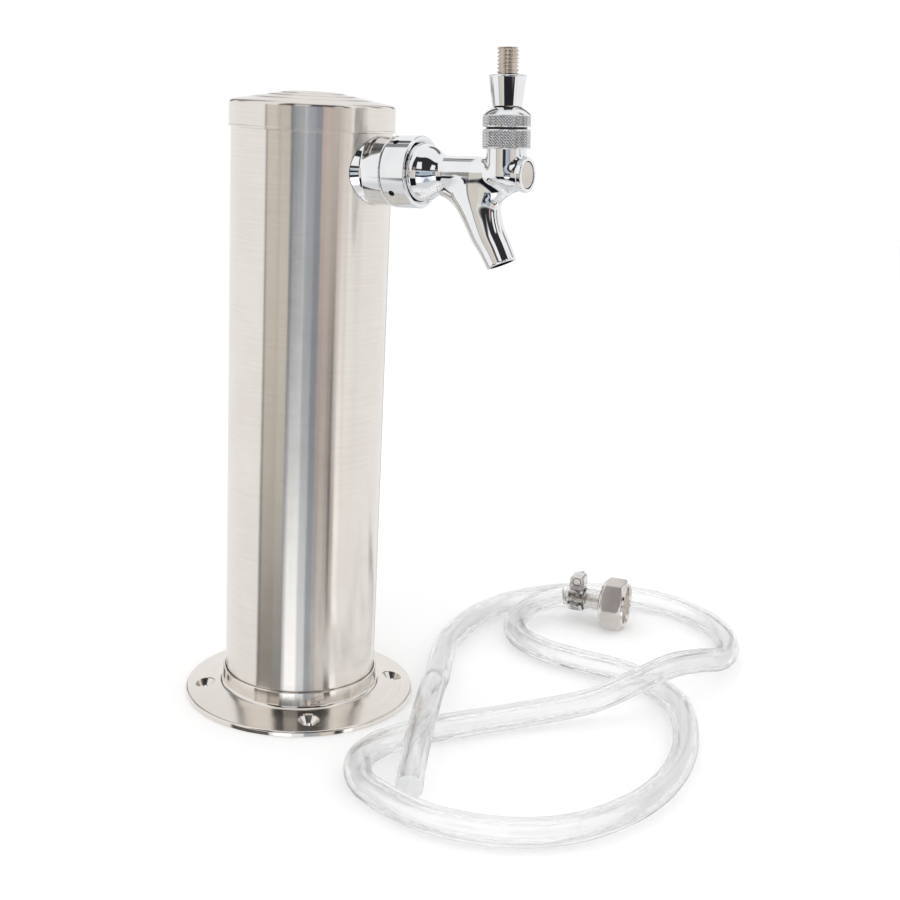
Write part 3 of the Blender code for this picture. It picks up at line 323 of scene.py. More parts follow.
def dense(outline, low, high, gap):
    """The same outline with extra points between two heights on its outer side, gap apart."""
    made = []
    for a, b in zip(outline, np.roll(outline, -1, axis=0)):
        made.append(a[None])
        if low - 1e-6 <= min(a[1], b[1]) and max(a[1], b[1]) <= high + 1e-6 and abs(a[1] - b[1]) > gap:
            count = int(abs(a[1] - b[1]) / gap)
            made.append(a + (b - a) * (np.arange(1, count) / count)[:, None])
    return np.concatenate(made)


# %% From points to a piece
def grid_faces(rows, columns, closed):
    """Quads between neighbouring rows and columns. Columns close on themselves, rows if closed."""
    i, j = np.meshgrid(np.arange(rows if closed else rows - 1), np.arange(columns), indexing="ij")
    i, j = i.ravel(), j.ravel()
    on, beside = (i + 1) % rows, (j + 1) % columns
    return np.stack([i * columns + j, i * columns + beside, on * columns + beside, on * columns + j], 1)


def sheet(name, points, faces):
    """A mesh object from points in millimetres and the faces between them."""
    mesh = bpy.data.meshes.new(name)
    mesh.from_pydata((points.reshape(-1, 3) * MM).tolist(), [], faces.tolist())
    return linked(name, mesh)


def solid(name, points, closed=True, faces=None, merge=1e-3):
    """A closed piece from a grid of points in millimetres, its poles merged, facing outwards."""
    made = sheet(name, points, grid_faces(*points.shape[:2], closed) if faces is None else faces)
    shape = bmesh.new()
    shape.from_mesh(made.data)
    bmesh.ops.remove_doubles(shape, verts=shape.verts, dist=merge * MM)
    bmesh.ops.dissolve_degenerate(shape, edges=shape.edges, dist=1e-4 * MM)
    holes = [edge for edge in shape.edges if edge.is_boundary]
    if holes:
        bmesh.ops.holes_fill(shape, edges=holes)
    bmesh.ops.recalc_face_normals(shape, faces=shape.faces)
    shape.to_mesh(made.data)
    shape.free()
    return made


def settle(piece):
    """Bakes a piece's modifiers into its mesh."""
    graph = bpy.context.evaluated_depsgraph_get()
    mesh = bpy.data.meshes.new_from_object(piece.evaluated_get(graph))
    piece.modifiers.clear()
    old, piece.data = piece.data, mesh
    bpy.data.meshes.remove(old)


def carve(piece, *cutters):
    """Cuts the cutters from a piece and removes them."""
    for cutter in cutters:
        cut = piece.modifiers.new("cut", "BOOLEAN")
        cut.operation, cut.solver, cut.object = "DIFFERENCE", "EXACT", cutter
    settle(piece)
    for cutter in cutters:
        bpy.data.objects.remove(cutter, do_unlink=True)
    return piece


def drilled(piece, name, frames, rows, turns):
    """Cuts the same turned hole at each of the frames."""
    return carve(piece, *(solid(f"{name}_{i}", lathe(rows, f, turns)) for i, f in enumerate(frames)))


def dress(piece, material, crease):
    """Smooth shading with creases, and one material."""
    piece.data.shade_smooth()
    piece.data.set_sharp_from_angle(angle=math.radians(crease))
    piece.data.materials.clear()
    piece.data.materials.append(material)


def finish_piece(piece, body, material, stands_for=(), crease=32):
    """Dresses a piece, gives it a body to ride on, and hides the CAD nodes it stands for."""
    dress(piece, material, crease)
    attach(piece, body)
    if stands_for:
        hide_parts(*stands_for)
    size = np.ptp(np.array([v.co for v in piece.data.vertices]), axis=0) / MM
    print(f"{piece.name}: {len(piece.data.polygons)} faces,", " x ".join(f"{s:.1f}" for s in size), "mm")
    return piece


# %% [markdown]
# ## Finishes
# Brushed stainless has fine scratches that run round the column. Along them it is as sharp as a
# mirror and across them it is blurred, which is why its reflections are tall bands with hard
# edges. Chrome is a plain mirror with the faintest ripple; on the coupling nut and the knurled parts
# it has shade painted into its colour in holes, valleys and gaps. The hose is clear soft plastic.
# Pictures could give the metals their scratches, but noise has no seam and stays sharp from near by.

# %% A blank material and the patterns for it
def material_named(name, **constants):
    """A Principled material, its own place in metres, and its shader with the constants set."""
    material = bpy.data.materials.new(name)
    material.use_nodes = True
    shader = material.node_tree.nodes["Principled BSDF"]
    for socket, value in constants.items():
        shader.inputs[socket.replace("_", " ")].default_value = value
    return material, Socket(material.node_tree).node("ShaderNodeTexCoord", output=3), shader


def feed(shader, **links):
    """Links sockets to the shader's inputs by their names."""
    for socket, value in links.items():
        value.tree.links.new(value.output, shader.inputs[socket.replace("_", " ")])


def noise(vector, scale, detail=2.0, roughness=0.5):
    """Cloudy noise from 0 to 1, with scale clouds to the metre."""
    return vector.node("ShaderNodeTexNoise", inputs={
        "Vector": vector, "Scale": scale, "Detail": detail, "Roughness": roughness})


def bumped(mask, strength, distance):
    """A normal tilted as if the mask stood out by the distance where it is 1."""
    return mask.node("ShaderNodeBump", inputs={
        "Strength": strength, "Distance": distance, "Height": mask})


def about(place, point, axis):
    """How far the place is along an axis through a point, and out from it, in metres."""
    x, y, z = (part - middle * MM for part, middle in zip(parts_of(place), point))
    along = x * axis[0] + y * axis[1] + z * axis[2]
    return along, (x * x + y * y + z * z - along * along).maths("SQRT")


# %% Brushed stainless
def brushed_stainless(name, roughness, scratch):
    """Scratches run round the axis: noise that is slow along them and fast across them."""
    material, place, shader = material_named(
        name, Metallic=1.0, Anisotropic=0.97, Anisotropic_Rotation=0.25)
    x, y, z = parts_of(place)
    radius = (x * x + y * y).maths("SQRT")

    def scratches(along, across, detail, sharpness):
        """Noise of the direction from the axis, and of the distance from it plus the height."""
        lay = place.node("ShaderNodeCombineXYZ", inputs={
            0: x / radius * along, 1: y / radius * along, 2: (radius + z) * across})
        return noise(lay, 1.0, detail, sharpness)

    hair, smear = scratches(1.5, 5200.0, 3.0, 0.5), scratches(2.2, 40.0, 4.0, 0.6)
    stain, dents = noise(place, 34.0, 3.0), noise(place, 9.0, 1.0)
    shade = 0.5 * hair + 0.3 * smear + 0.2 * stain
    feed(shader, Base_Color=mix(step(shade, 0.32, 0.68), (0.79, 0.74, 0.685), (0.86, 0.82, 0.77)),
         Roughness=roughness + (smear - 0.5) * 0.03 + (hair - 0.5) * 0.03,
         Normal=bumped(hair * 0.02 + dents, scratch, 0.0012))
    return material


column_steel = brushed_stainless("brushed_stainless_column", 0.175, 0.5)
flange_steel = brushed_stainless("brushed_stainless_flange", 0.12, 0.25)
print("brushed stainless: scratches about 0.2 mm apart")


# %% Polished metals
def polished(name, dull, bright, roughness, ripple=0.0):
    """A mirror with a faint change of tone, and with ripples where it was cast."""
    material, place, shader = material_named(name, Metallic=1.0)
    cloud, fine = noise(place, 90.0, 3.0), noise(place, 1400.0)
    feed(shader, Base_Color=mix(step(cloud, 0.3, 0.7), dull, bright),
         Roughness=roughness + (cloud - 0.5) * roughness * 0.5 + (fine - 0.5) * roughness * 0.4,
         Normal=bumped(cloud, ripple, 0.0004))
    return material


chrome = polished("mirror_chrome", (0.86, 0.87, 0.88), (0.91, 0.915, 0.92), 0.03, 0.02)
shaft_steel = polished("turned_shaft_steel", (0.66, 0.60, 0.56), (0.74, 0.69, 0.65), 0.30)
stud_steel = polished("threaded_stud_steel", (0.68, 0.62, 0.55), (0.80, 0.74, 0.67), 0.20)
nickel = polished("nickel_plate", (0.74, 0.71, 0.67), (0.84, 0.81, 0.77), 0.16)
brass = polished("plain_brass", (0.70, 0.53, 0.27), (0.80, 0.64, 0.36), 0.28)
clamp_steel = polished("clamp_band_steel", (0.60, 0.58, 0.56), (0.76, 0.74, 0.72), 0.18)


# %% Nickel for the nut: grainy flats between polished cones
def nut_finish():
    """Grain where the nut isn't turned: the turned ends lie beyond two cones about its axis."""
    material, place, shader = material_named("nut_nickel", Metallic=1.0)
    along, radius = about(place, NUT_MIDDLE, NUT_AXIS)
    cone = (radius - CONE_RADIUS * MM) * CONE_SLOPE
    past_front = step(along + cone, (CONE_FRONT - 0.35) * MM, (CONE_FRONT - 0.2) * MM)
    past_back = step(along - cone, (CONE_BACK + 0.35) * MM, (CONE_BACK + 0.2) * MM)
    inner = step(radius, 13.1 * MM, 12.9 * MM)
    turned = past_front.maths("MAXIMUM", past_back).maths("MAXIMUM", inner)
    rough_skin = (1 - turned) * noise(place, 2300.0)
    cloud = noise(place, 120.0)
    feed(shader, Base_Color=mix(step(0.6 * rough_skin + 0.4 * cloud, 0.25, 0.6),
                                (0.78, 0.74, 0.70), (0.66, 0.62, 0.585)),
         Roughness=0.10 + 0.22 * (1 - turned) + 0.06 * cloud, Normal=bumped(rough_skin, 0.8, 0.00012))
    return material


nut_nickel = nut_finish()


# %% Chrome with painted shade in its holes and grooves
def chrome_with_painted_shade(name, axis_point, axis, full_shade_radius, shade_start_radius, low, high, dark, painted_shadow_radius=0.0):
    """Chrome with shade painted into its colour: it darkens from one radius about an axis to a smaller
    one, between two heights, and is painted black within a third radius, where a gap lies in shadow."""
    material, place, shader = material_named(name, Metallic=1.0)
    along, radius = about(place, axis_point, axis)
    # The colour goes to near black where this mask is 1: shade painted into holes and grooves, and a
    # painted shadow within the smallest radius
    painted_shade = dark * step(radius, shade_start_radius * MM, full_shade_radius * MM)
    painted_shade = painted_shade + (1 - dark) * step(radius, (painted_shadow_radius + 0.3) * MM, painted_shadow_radius * MM)
    painted_shade = painted_shade * band(along, low * MM, high * MM, 0.05 * MM)
    cloud = noise(place, 90.0, 3.0)
    skin = mix(step(cloud, 0.3, 0.7), (0.84, 0.85, 0.86), (0.90, 0.905, 0.91))
    feed(shader, Base_Color=mix(painted_shade, skin, (0.03, 0.03, 0.03)), Roughness=0.05 + 0.05 * cloud)
    return material


# Painted shade inside the coupling nut's four pin holes and on its bore
coupling_chrome_painted_shade = chrome_with_painted_shade("coupling_chrome_painted_shade", SHANK, OUT, full_shade_radius=15.8, shade_start_radius=16.05,
                                 low=13.8, high=17.4, dark=1.0)
# Painted shade in the knurl valleys of the ring and the bonnet, and a black painted shadow in the narrow
# gap between them
knurl_chrome_painted_shade = chrome_with_painted_shade("knurled_chrome_painted_shade", LEVER, UP, full_shade_radius=10.1, shade_start_radius=10.6,
                              low=11.5, high=24.9, dark=0.45, painted_shadow_radius=9.3)


# %% Rubber, plastic and foam
def moulded(name, dark, light, roughness, scale, strength, depth=0.0001):
    """A plain moulded material: its tone and its skin both come from noise of one scale."""
    material, place, shader = material_named(name)
    skin = noise(place, scale, 4.0, 0.6)
    feed(shader, Base_Color=mix(skin, dark, light), Roughness=roughness + (skin - 0.5) * 0.15,
         Normal=bumped(skin, strength, depth))
    return material


black_rubber = moulded("black_rubber", (0.018, 0.018, 0.018), (0.045, 0.045, 0.045), 0.62, 900.0, 0.25)
white_plastic = moulded("white_plastic", (0.80, 0.79, 0.75), (0.88, 0.87, 0.84), 0.42, 400.0, 0.05)
foam = moulded("cell_foam", (0.66, 0.66, 0.62), (0.86, 0.86, 0.83), 0.92, 700.0, 0.9, 0.0006)


# %% Clear soft plastic
def clear_plastic():
    """Glass-like, a little soft, with a roughness that changes slowly along the hose."""
    material, place, shader = material_named("clear_vinyl", Transmission_Weight=1.0, IOR=1.42, Alpha=0.8)
    haze = noise(place, 45.0)
    feed(shader, Base_Color=mix(haze, (0.98, 0.985, 0.985), (1.0, 1.0, 1.0)),
         Roughness=0.002 + 0.01 * haze)
    return material


clear_vinyl = clear_plastic()
cut_vinyl = moulded("cut_vinyl", (0.78, 0.79, 0.80), (0.86, 0.87, 0.88), 0.35, 1500.0, 0.1)
print("materials:", len(bpy.data.materials))

# %% [markdown]
# ## The beer line
# The hose is 12.7 mm thick with a 6.35 mm bore. Its middle line is the same list of
# points as in the CAD model, read off the loops in the photograph, with the hose lying on the floor
# wherever it doesn't cross itself. A curve with a round bevel would be a solid rod. Clear plastic
# needs its bore as well, because the light bends at both walls, so the hose is two tubes on the same
# middle line, joined at their ends, and the inner one is wider where it is pushed over the barb.

# %% The hose's route
LINE_RADIUS, LINE_BORE, LINE_POCKET = 6.35, 3.175, 4.2
BARB_LENGTH = 22.0
line_route = np.array([
    (178.0, 93.0, 13.8), (167.1, 98.1, 13.8), (156.3, 103.1, 13.6), (142.5, 100.0, 10.6),
    (130.0, 88.0, 7.6), (123.5, 72.0, 6.65), (124.5, 53.0, 6.65), (135.0, 35.0, 6.65),
    (153.0, 20.0, 6.65), (172.0, 7.0, 6.65), (186.0, -12.0, 6.65), (192.5, -36.0, 6.65),
    (189.0, -64.0, 6.65), (180.0, -92.0, 6.65), (165.0, -118.0, 6.65), (145.0, -139.0, 6.65),
    (117.0, -155.0, 6.65), (87.0, -158.0, 6.65), (55.0, -146.0, 6.65), (31.0, -120.0, 6.65),
    (27.0, -99.0, 6.65), (33.0, -84.0, 6.65), (46.0, -72.0, 6.65), (66.0, -62.0, 6.65),
    (108.0, -47.5, 6.65), (146.0, -38.0, 10.0), (172.0, -29.0, 17.0), (193.0, -16.5, 20.2),
    (213.0, -1.0, 16.5), (231.0, 18.0, 9.5), (241.5, 40.0, 6.65), (244.0, 62.0, 6.65),
    (238.5, 86.0, 6.65), (226.0, 105.0, 6.65), (208.0, 118.0, 6.65), (186.0, 125.0, 6.65),
    (160.0, 124.0, 6.65), (132.0, 112.5, 6.65), (112.0, 96.0, 6.65), (97.0, 77.0, 6.65),
    (84.0, 51.0, 6.65), (77.0, 26.0, 7.0), (70.5, -14.0, 12.0), (66.0, -38.0, 18.0),
    (61.5, -62.0, 20.4), (56.0, -84.0, 15.5), (51.5, -104.0, 8.6), (49.0, -120.0, 6.65),
])
LINE_SIDE = np.array([math.cos(LINE_TURN), math.sin(LINE_TURN), 0])
LINE_AHEAD = np.array([-math.sin(LINE_TURN), math.cos(LINE_TURN), 0])


def smooth_route(route, count, fine=40):
    """Evenly spaced points on the Catmull-Rom curve through the route's points."""
    p = np.concatenate([2 * route[:1] - route[1:2], route, 2 * route[-1:] - route[-2:-1]])
    a, b, c, d = (p[i:len(p) - 3 + i, None] for i in range(4))
    t = (np.arange(fine) / fine)[None, :, None]
    curve = 0.5 * (2 * b + (c - a) * t + (2 * a - 5 * b + 4 * c - d) * t**2
                   + (3 * b - a - 3 * c + d) * t**3)
    curve = np.concatenate([curve.reshape(-1, route.shape[1]), route[-1:]])
    run = np.concatenate([[0], np.cumsum(np.linalg.norm(np.diff(curve, axis=0), axis=1))])
    even = np.linspace(0, run[-1], count)
    return np.stack([np.interp(even, run, column) for column in curve.T], 1), run[-1]


def tube(path, radius, around=48):
    """Point (i, j) = path i + radius i (cos j across + sin j up), square to the path. Path in mm."""
    ahead = np.gradient(path, axis=0)
    ahead /= np.linalg.norm(ahead, axis=1, keepdims=True)
    across = np.cross(ahead, (0, 0, 1))
    across /= np.linalg.norm(across, axis=1, keepdims=True)
    above = np.cross(across, ahead)
    angle = (np.arange(around) * TAU / around)[None, :, None]
    ring = np.cos(angle) * across[:, None] + np.sin(angle) * above[:, None]
    return path[:, None] + np.broadcast_to(radius, len(path))[:, None, None] * ring


# %% The hose
flat_path, line_length = smooth_route(line_route, 900)
line_path = (flat_path[:, :1] * LINE_SIDE + flat_path[:, 1:2] * LINE_AHEAD
             + flat_path[:, 2:] * np.array([0, 0, 1.0]))
from_barb = np.linspace(0, line_length, len(line_path))
bore = np.where(from_barb < BARB_LENGTH + 1, LINE_POCKET, LINE_BORE)
hose = solid("clear_hose", np.concatenate([tube(line_path, LINE_RADIUS), tube(line_path, bore)[::-1]]))
finish_piece(hose, "tower", clear_vinyl, ["beer_line"])
# The faces that join the outside to the bore at either end show the cut plastic
hose.data.materials.append(cut_vinyl)
ends = np.zeros(len(hose.data.polygons), int)
ends.reshape(2 * len(line_path), -1)[[len(line_path) - 1, -1]] = 1
hose.data.polygons.foreach_set("material_index", ends)
# Clear plastic passes most light, but Cycles gives it a full shadow. With that one off, the floor
# keeps a faint shade from bounced light
hose.visible_shadow = False
print(f"hose: {line_length:.0f} mm long, starting at {np.round(line_path[0], 1)}")

# %% [markdown]
# ## Column, base and cap
# The column is a plain tube with a hole for the shank. The base is turned, with a raised ring that
# the column stands in and four countersunk holes. The cap is pressed sheet. Plain cylinders could
# stand for all three, but a real edge is never quite sharp, and its small round catches a thin line
# of light. So each is an outline with small fillets, carried round the axis, and only the holes are
# cut with booleans.

# %% Column
COLUMN_TOP, COLUMN_FOOT, COLUMN_WALL = 292.0, 2.0, 1.2
SHANK_HOLE = 11.4
column = solid("steel_column", lathe(
    [(COLUMN_RADIUS, COLUMN_FOOT), (COLUMN_RADIUS, 20), (COLUMN_RADIUS, 248), (COLUMN_RADIUS, 287),
     (COLUMN_RADIUS, COLUMN_TOP), (COLUMN_RADIUS - COLUMN_WALL, COLUMN_TOP),
     (COLUMN_RADIUS - COLUMN_WALL, COLUMN_FOOT)], TOWER_FRAME, 240))
hole = solid("hole", lathe([(0, -20), (SHANK_HOLE, -20), (SHANK_HOLE, 5), (0, 5)], SHANK_FRAME, 64))
finish_piece(carve(column, hole), "tower", column_steel, ["column_tube"])

# %% Base flange
base_outline = rounded([
    (32.0, 0, 0.2), (58.3, 0, 0.3), (58.3, 2.7, 0.9), (39.4, 6.15, 1.9), (39.4, 14.3, 0.45),
    (38.4, 14.3, 0.15), (38.4, 1.7, 0), (32.0, 1.7, 0.2)], steps=5)
base_outline = dense(base_outline, 2.6, 6.2, 0.15)
base = solid("steel_base", lathe(base_outline, TOWER_FRAME, 240))
# The shank points at compass -90, and the first hole 48.3 degrees to one side of it
HOLE_CIRCLE, HOLE_TURN, SCREW_HOLE, SCREW_SINK = 48.8, math.radians(-48.3 - 90), 2.75, 5.35
hole_frames = [(np.array([math.cos(t), math.sin(t), 0]) * HOLE_CIRCLE, *np.eye(3))
               for t in HOLE_TURN + np.arange(4) * TAU / 4]
drilled(base, "screw_hole", hole_frames, [
    (0, -1), (SCREW_HOLE, -1), (SCREW_HOLE, 1.4), (SCREW_SINK, 4.4), (SCREW_SINK, 6.0), (0, 6.0)], 64)
finish_piece(base, "tower", flange_steel, ["base_flange"])

# %% Cap
# A shallow dome with three faint rings, the rim with its rolled foot, and the hollow underside
cap_outline = rounded([
    (0, 301.6, 0), (10.5, 301.4, 3.0), (15.4, 300.75, 0.3), (15.8, 300.4, 0.3),
    (21.2, 299.75, 0.3), (21.6, 299.4, 0.3), (28.6, 298.4, 0.3), (29.0, 298.1, 0.3),
    (39.05, 296.5, 1.9), (39.05, 285.35, 0.1), (39.25, 285.2, 0.1), (39.25, 284.25, 0.1),
    (39.0, 284.1, 0.1), (38.4, 284.1, 0.1), (38.4, 292.3, 0), (36.9, 292.3, 0), (34.3, 295.8, 1.5),
    (18.4, 298.8, 0), (0, 299.6, 0)], closed=False, steps=8)
cap = solid("steel_cap", lathe(cap_outline, TOWER_FRAME, 240), closed=False)
finish_piece(cap, "cap", column_steel, ["top_cap"])

# %% [markdown]
# ## Shank, collar and coupling nut
# The collar spaces the faucet from the column, and the coupling nut clamps the faucet to the shank.
# These are turned parts, so each is an outline carried round the shank's axis. The collar's back
# follows the column: it is turned too long, and a cylinder as wide as the column cuts it to the
# exact curve. The nut has four small holes for a pin spanner.

# %% Collar
collar = solid("chrome_collar", lathe(dense(rounded([
    (11.4, -6, 0), (18.6, -6, 0), (15.6, 0, 3.0), (15.6, 10.3, 0.5), (11.4, 10.3, 0.2)], steps=6),
    -6.1, 1.0, 0.5), SHANK_FRAME, 192))
column_space = solid("column_space", lathe(
    [(0, 230), (38.4, 230), (38.4, 310), (0, 310)], TOWER_FRAME, 360))
finish_piece(carve(collar, column_space), "tower", chrome, ["shank_collar"])

# %% Coupling nut
coupling = solid("coupling_ring", lathe(dense(rounded([
    (14.6, 10.8, 0), (16.15, 10.8, 0.6), (16.15, 23.8, 0.6), (14.5, 23.8, 0.3), (13.4, 22.9, 0.2),
    (13.3, 20.4, 0), (14.6, 20.4, 0)], steps=5), 11.3, 23.3, 1.0), SHANK_FRAME, 192))
PIN_TURN, PIN_OUT = math.radians(35), 15.6
ways = [math.sin(t) * SIDE - math.cos(t) * UP for t in PIN_TURN + np.arange(4) * TAU / 4]
drilled(coupling, "pin_hole", [(SHANK + PIN_OUT * OUT, np.cross(way, OUT), OUT, way) for way in ways],
        [(0, 15.2), (1.1, 15.2), (1.45, 15.4), (1.5, 17.5), (0, 17.5)], 32)
finish_piece(coupling, "tower", coupling_chrome_painted_shade, ["coupling_nut"])

# %% [markdown]
# ## Lever, ferrule and bonnet
# The tap handle screws on the stud, the ferrule is the handle's seat, and the knurled bonnet holds
# the ball on which the lever turns. A bump map could stand for the thread and the knurls, but they
# show in the outline too. So they are cut into turned surfaces, as a radius that changes with the
# height and the angle.

# %% Threads and knurls as a change of radius
def threaded(low, high, pitch, depth, core, flat=0.15):
    """Radius less depth times a triangle wave of height / pitch + angle / turn, outside the core. The
    wave is cut flat by a share at the crest and at the root."""
    def shape(radius, along, angle):
        wave = np.abs(((along / pitch + angle / TAU) % 1) * 2 - 1)
        wave = np.clip(wave * (1 + 2 * flat) - flat, 0, 1)
        within = (along > low) & (along < high) & (radius > core)
        return radius - np.where(within, depth * wave, 0), along
    return shape


def knurled(low, high, count=50, depth=0.45, pitch=1.35, core=9.9, fade=0.3):
    """Radius less depth times the higher of two crossed triangle waves, outside the core and between
    two heights, where it fades out."""
    def shape(radius, along, angle):
        turn_share = angle / TAU * count
        one = np.abs(((turn_share + along / pitch) % 1) * 2 - 1)
        other = np.abs(((turn_share - along / pitch) % 1) * 2 - 1)
        edge = np.clip(np.minimum(along - low, high - along) / fade, 0, 1)
        valley = np.maximum(one, other)
        within = (along > low) & (along < high) & (radius > core)
        return radius - np.where(within, depth * valley * edge, 0), along
    return shape


# %% Lever with its ball and stud
PIVOT, BALL, NECK, STUD, STUD_FOOT, STUD_TOP = 16.5, 5.8, 2.6, 4.76, 30.0, 53.5
THREAD, TONGUE, TIP = 1.5875, 1.6, 2.3


def ball_arc(centre, radius, low, high, steps=24):
    """Points on a circle about an axis point, between two elevations in radians."""
    angle = np.linspace(low, high, steps)
    return np.stack([radius * np.cos(angle), centre + radius * np.sin(angle)], 1)


lever_outline = np.concatenate([
    rounded([(0, STUD_TOP, 0), (STUD, STUD_TOP, 0.8), (STUD, STUD_FOOT, 0),
             (NECK, STUD_FOOT, 0)], False),
    ball_arc(PIVOT, BALL, math.acos(NECK / BALL), -math.acos(TONGUE / BALL)),
    ball_arc(0, TIP, math.acos(TONGUE / TIP), -math.pi / 2, 12)])
lever = solid("threaded_lever", lathe(
    dense(lever_outline, STUD_FOOT, STUD_TOP - 0.7, 0.1), LEVER_FRAME, 96,
    threaded(41.0, STUD_TOP - 0.3, THREAD, depth=0.75, core=4.0)), closed=False)
finish_piece(lever, "lever", stud_steel, ["ball_lever"], crease=60)

# %% Ferrule
FERRULE_SPHERE, FERRULE_WAIST, FERRULE_TOP, FERRULE_HEIGHT, STUD_HOLE = 14.1, 6.6, 8.35, 42.0, 4.96
ferrule_outline = np.concatenate([
    rounded([(STUD_HOLE, FERRULE_HEIGHT, 0), (FERRULE_TOP, FERRULE_HEIGHT, 0.7),
             (FERRULE_WAIST, 29.0, 0)], False, 6),
    ball_arc(PIVOT, FERRULE_SPHERE, math.acos(FERRULE_WAIST / FERRULE_SPHERE) + 0.01,
             math.acos(STUD_HOLE / FERRULE_SPHERE), 6)])
ferrule = solid("chrome_ferrule", lathe(ferrule_outline, LEVER_FRAME, 128))
finish_piece(ferrule, "lever", chrome, ["lever_ferrule"])

# %% Bonnet
RING, BONNET_DOME, BONNET_FOOT = 10.6, 13.7, 20.1
edge = math.acos((RING - 0.3) / BONNET_DOME)
bonnet_outline = np.concatenate([
    ball_arc(PIVOT, BONNET_DOME, math.pi / 2, edge, 30),
    rounded([(RING - 0.3, PIVOT + BONNET_DOME * math.sin(edge), 0), (RING, 25.2, 0.15),
             (RING, BONNET_FOOT, 0.3), (9.2, BONNET_FOOT, 0), (9.2, 23.5, 0), (7.2, 23.5, 0),
             (7.2, 20.4, 0), (0, 20.4, 0)], False)[1:]])
bonnet = solid("knurled_bonnet", lathe(
    dense(bonnet_outline, BONNET_FOOT + 0.25, 25.19, 0.12), LEVER_FRAME, 480,
    knurled(BONNET_FOOT + 0.5, 24.9)), closed=False)
# The opening is a cone about the middle of the lever's swing, a degree wider than it on each side
PLAY, OPENING_TOP, half_swing = 0.3, 16, math.radians(9)
opening_edge = NECK + PLAY + OPENING_TOP * math.tan(half_swing + math.radians(1))
lean_out = math.sin(half_swing) * OUT + math.cos(half_swing) * UP
opening_frame = (LEVER + PIVOT * UP, SIDE, np.cross(lean_out, SIDE), lean_out)
opening = solid("bonnet_opening", lathe(
    [(0, 0), (NECK + PLAY, 0), (opening_edge, OPENING_TOP), (0, OPENING_TOP)], opening_frame, 64))
ball_seat = solid("ball_seat", lathe(
    ball_arc(PIVOT, BALL + PLAY, math.pi / 2, -math.pi / 2, 40), LEVER_FRAME, 64), closed=False)
finish_piece(carve(bonnet, opening, ball_seat), "tower", knurl_chrome_painted_shade, ["bonnet"])

# %% [markdown]
# ## Faucet body
# The body is one casting in which a bell, a barrel, a neck and a flattened spout flow into each
# other. Each of them is a distance function, and a smooth minimum joins them:
# `min(a, b) - max(k - |a - b|, 0)^2 / 4k` leaves a fillet about as wide as k. Booleans with bevels
# would leave creases where three forms meet, and chrome shows every crease. A surface net finds the
# zero surface on a grid, and Newton steps then move every vertex onto it.

# %% Surface net
def surface_net(field, low, high, gap, reach=0.02):
    """One vertex per cell that the surface field = 0 crosses, a quad per grid edge that it crosses.
    Then six times point - slope * field / slope^2, with the slope felt over reach either way."""
    axes = [np.arange(l, h + gap, gap) for l, h in zip(low, high)]
    grid = np.stack(np.meshgrid(*axes, indexing="ij"), -1)
    inside = field(grid.reshape(-1, 3)).reshape(grid.shape[:3]) < 0
    cells = [inside[i:i - 1 or None, j:j - 1 or None, k:k - 1 or None]
             for i in (0, 1) for j in (0, 1) for k in (0, 1)]
    corners = sum(cell.astype(int) for cell in cells)
    crossed = (corners > 0) & (corners < 8)
    number = np.full(crossed.shape, -1)
    number[crossed] = np.arange(crossed.sum())
    points = grid[:-1, :-1, :-1][crossed] + gap / 2
    quads = []
    for k in range(3):
        i, j = (k + 1) % 3, (k + 2) % 3
        here = np.moveaxis(inside, (k, i, j), (0, 1, 2))
        cell = np.moveaxis(number, (k, i, j), (0, 1, 2))
        cut_at = (here[:-1, 1:-1, 1:-1] != here[1:, 1:-1, 1:-1])
        around = [cell[:, 1:, 1:], cell[:, :-1, 1:], cell[:, :-1, :-1], cell[:, 1:, :-1]]
        quads.append(np.stack(around, -1)[cut_at])
    for _ in range(6):
        slope = np.stack([(field(points + e) - field(points - e)) / (2 * reach)
                          for e in reach * np.eye(3)], 1)
        points = points - slope * (field(points) / np.maximum((slope**2).sum(1), 0.05))[:, None]
    return points, np.concatenate(quads)


# %% The casting's distance function
def smooth_min(a, b, k):
    """The lower of a and b, less max(k - |a - b|, 0) squared / 4k."""
    return np.minimum(a, b) - np.maximum(k - np.abs(a - b), 0) ** 2 / (4 * k)


def ellipse(x, y, half_x, half_y):
    """About the distance to an ellipse: (q - 1) q / slope, with q = |(x / half_x, y / half_y)|."""
    q = np.hypot(x / half_x, y / half_y)
    return (q - 1) * q / np.maximum(np.hypot(x / half_x**2, y / half_y**2), 1e-9)


BELL, BELL_EDGE, BELL_DEPTH, BARREL, BOSS = 13.0, 23.7, 12.36, 7.55, 6.95
NECK_RADIUS, NECK_DEPTH, NECK_TOP, CASTING_BACK, CASTING_FRONT = 8.9, 5.5, 12.5, 19.2, 76.5
BELL_FILLET, NECK_FILLET, LIP_FILLET, SPOUT_FILLET, SPOUT_WEB, WEB_WIDE = 3.5, 2.2, 0.7, 1.5, 9.0, 7.2
TAPER_FROM, TAPER_LONG = 52, 7
# Down the spout: out along the shank, drop, half depth, half width, and lean in radians
spout_sections = np.array([
    (50.5, 2.0, 13.5, 6.9, 0.0), (51.3, 9.0, 13.8, 7.0, 0.04), (53.0, 14.1, 10.8, 7.2, 0.16),
    (55.3, 20.0, 8.9, 7.4, 0.30), (58.3, 27.0, 7.9, 7.3, 0.40), (61.8, 32.9, 7.3, 7.0, 0.40),
    (65.2, 39.2, 6.9, 6.9, 0.40)])
spout_out, spout_drop, spout_depth, spout_width, spout_lean = smooth_route(spout_sections, 90)[0].T


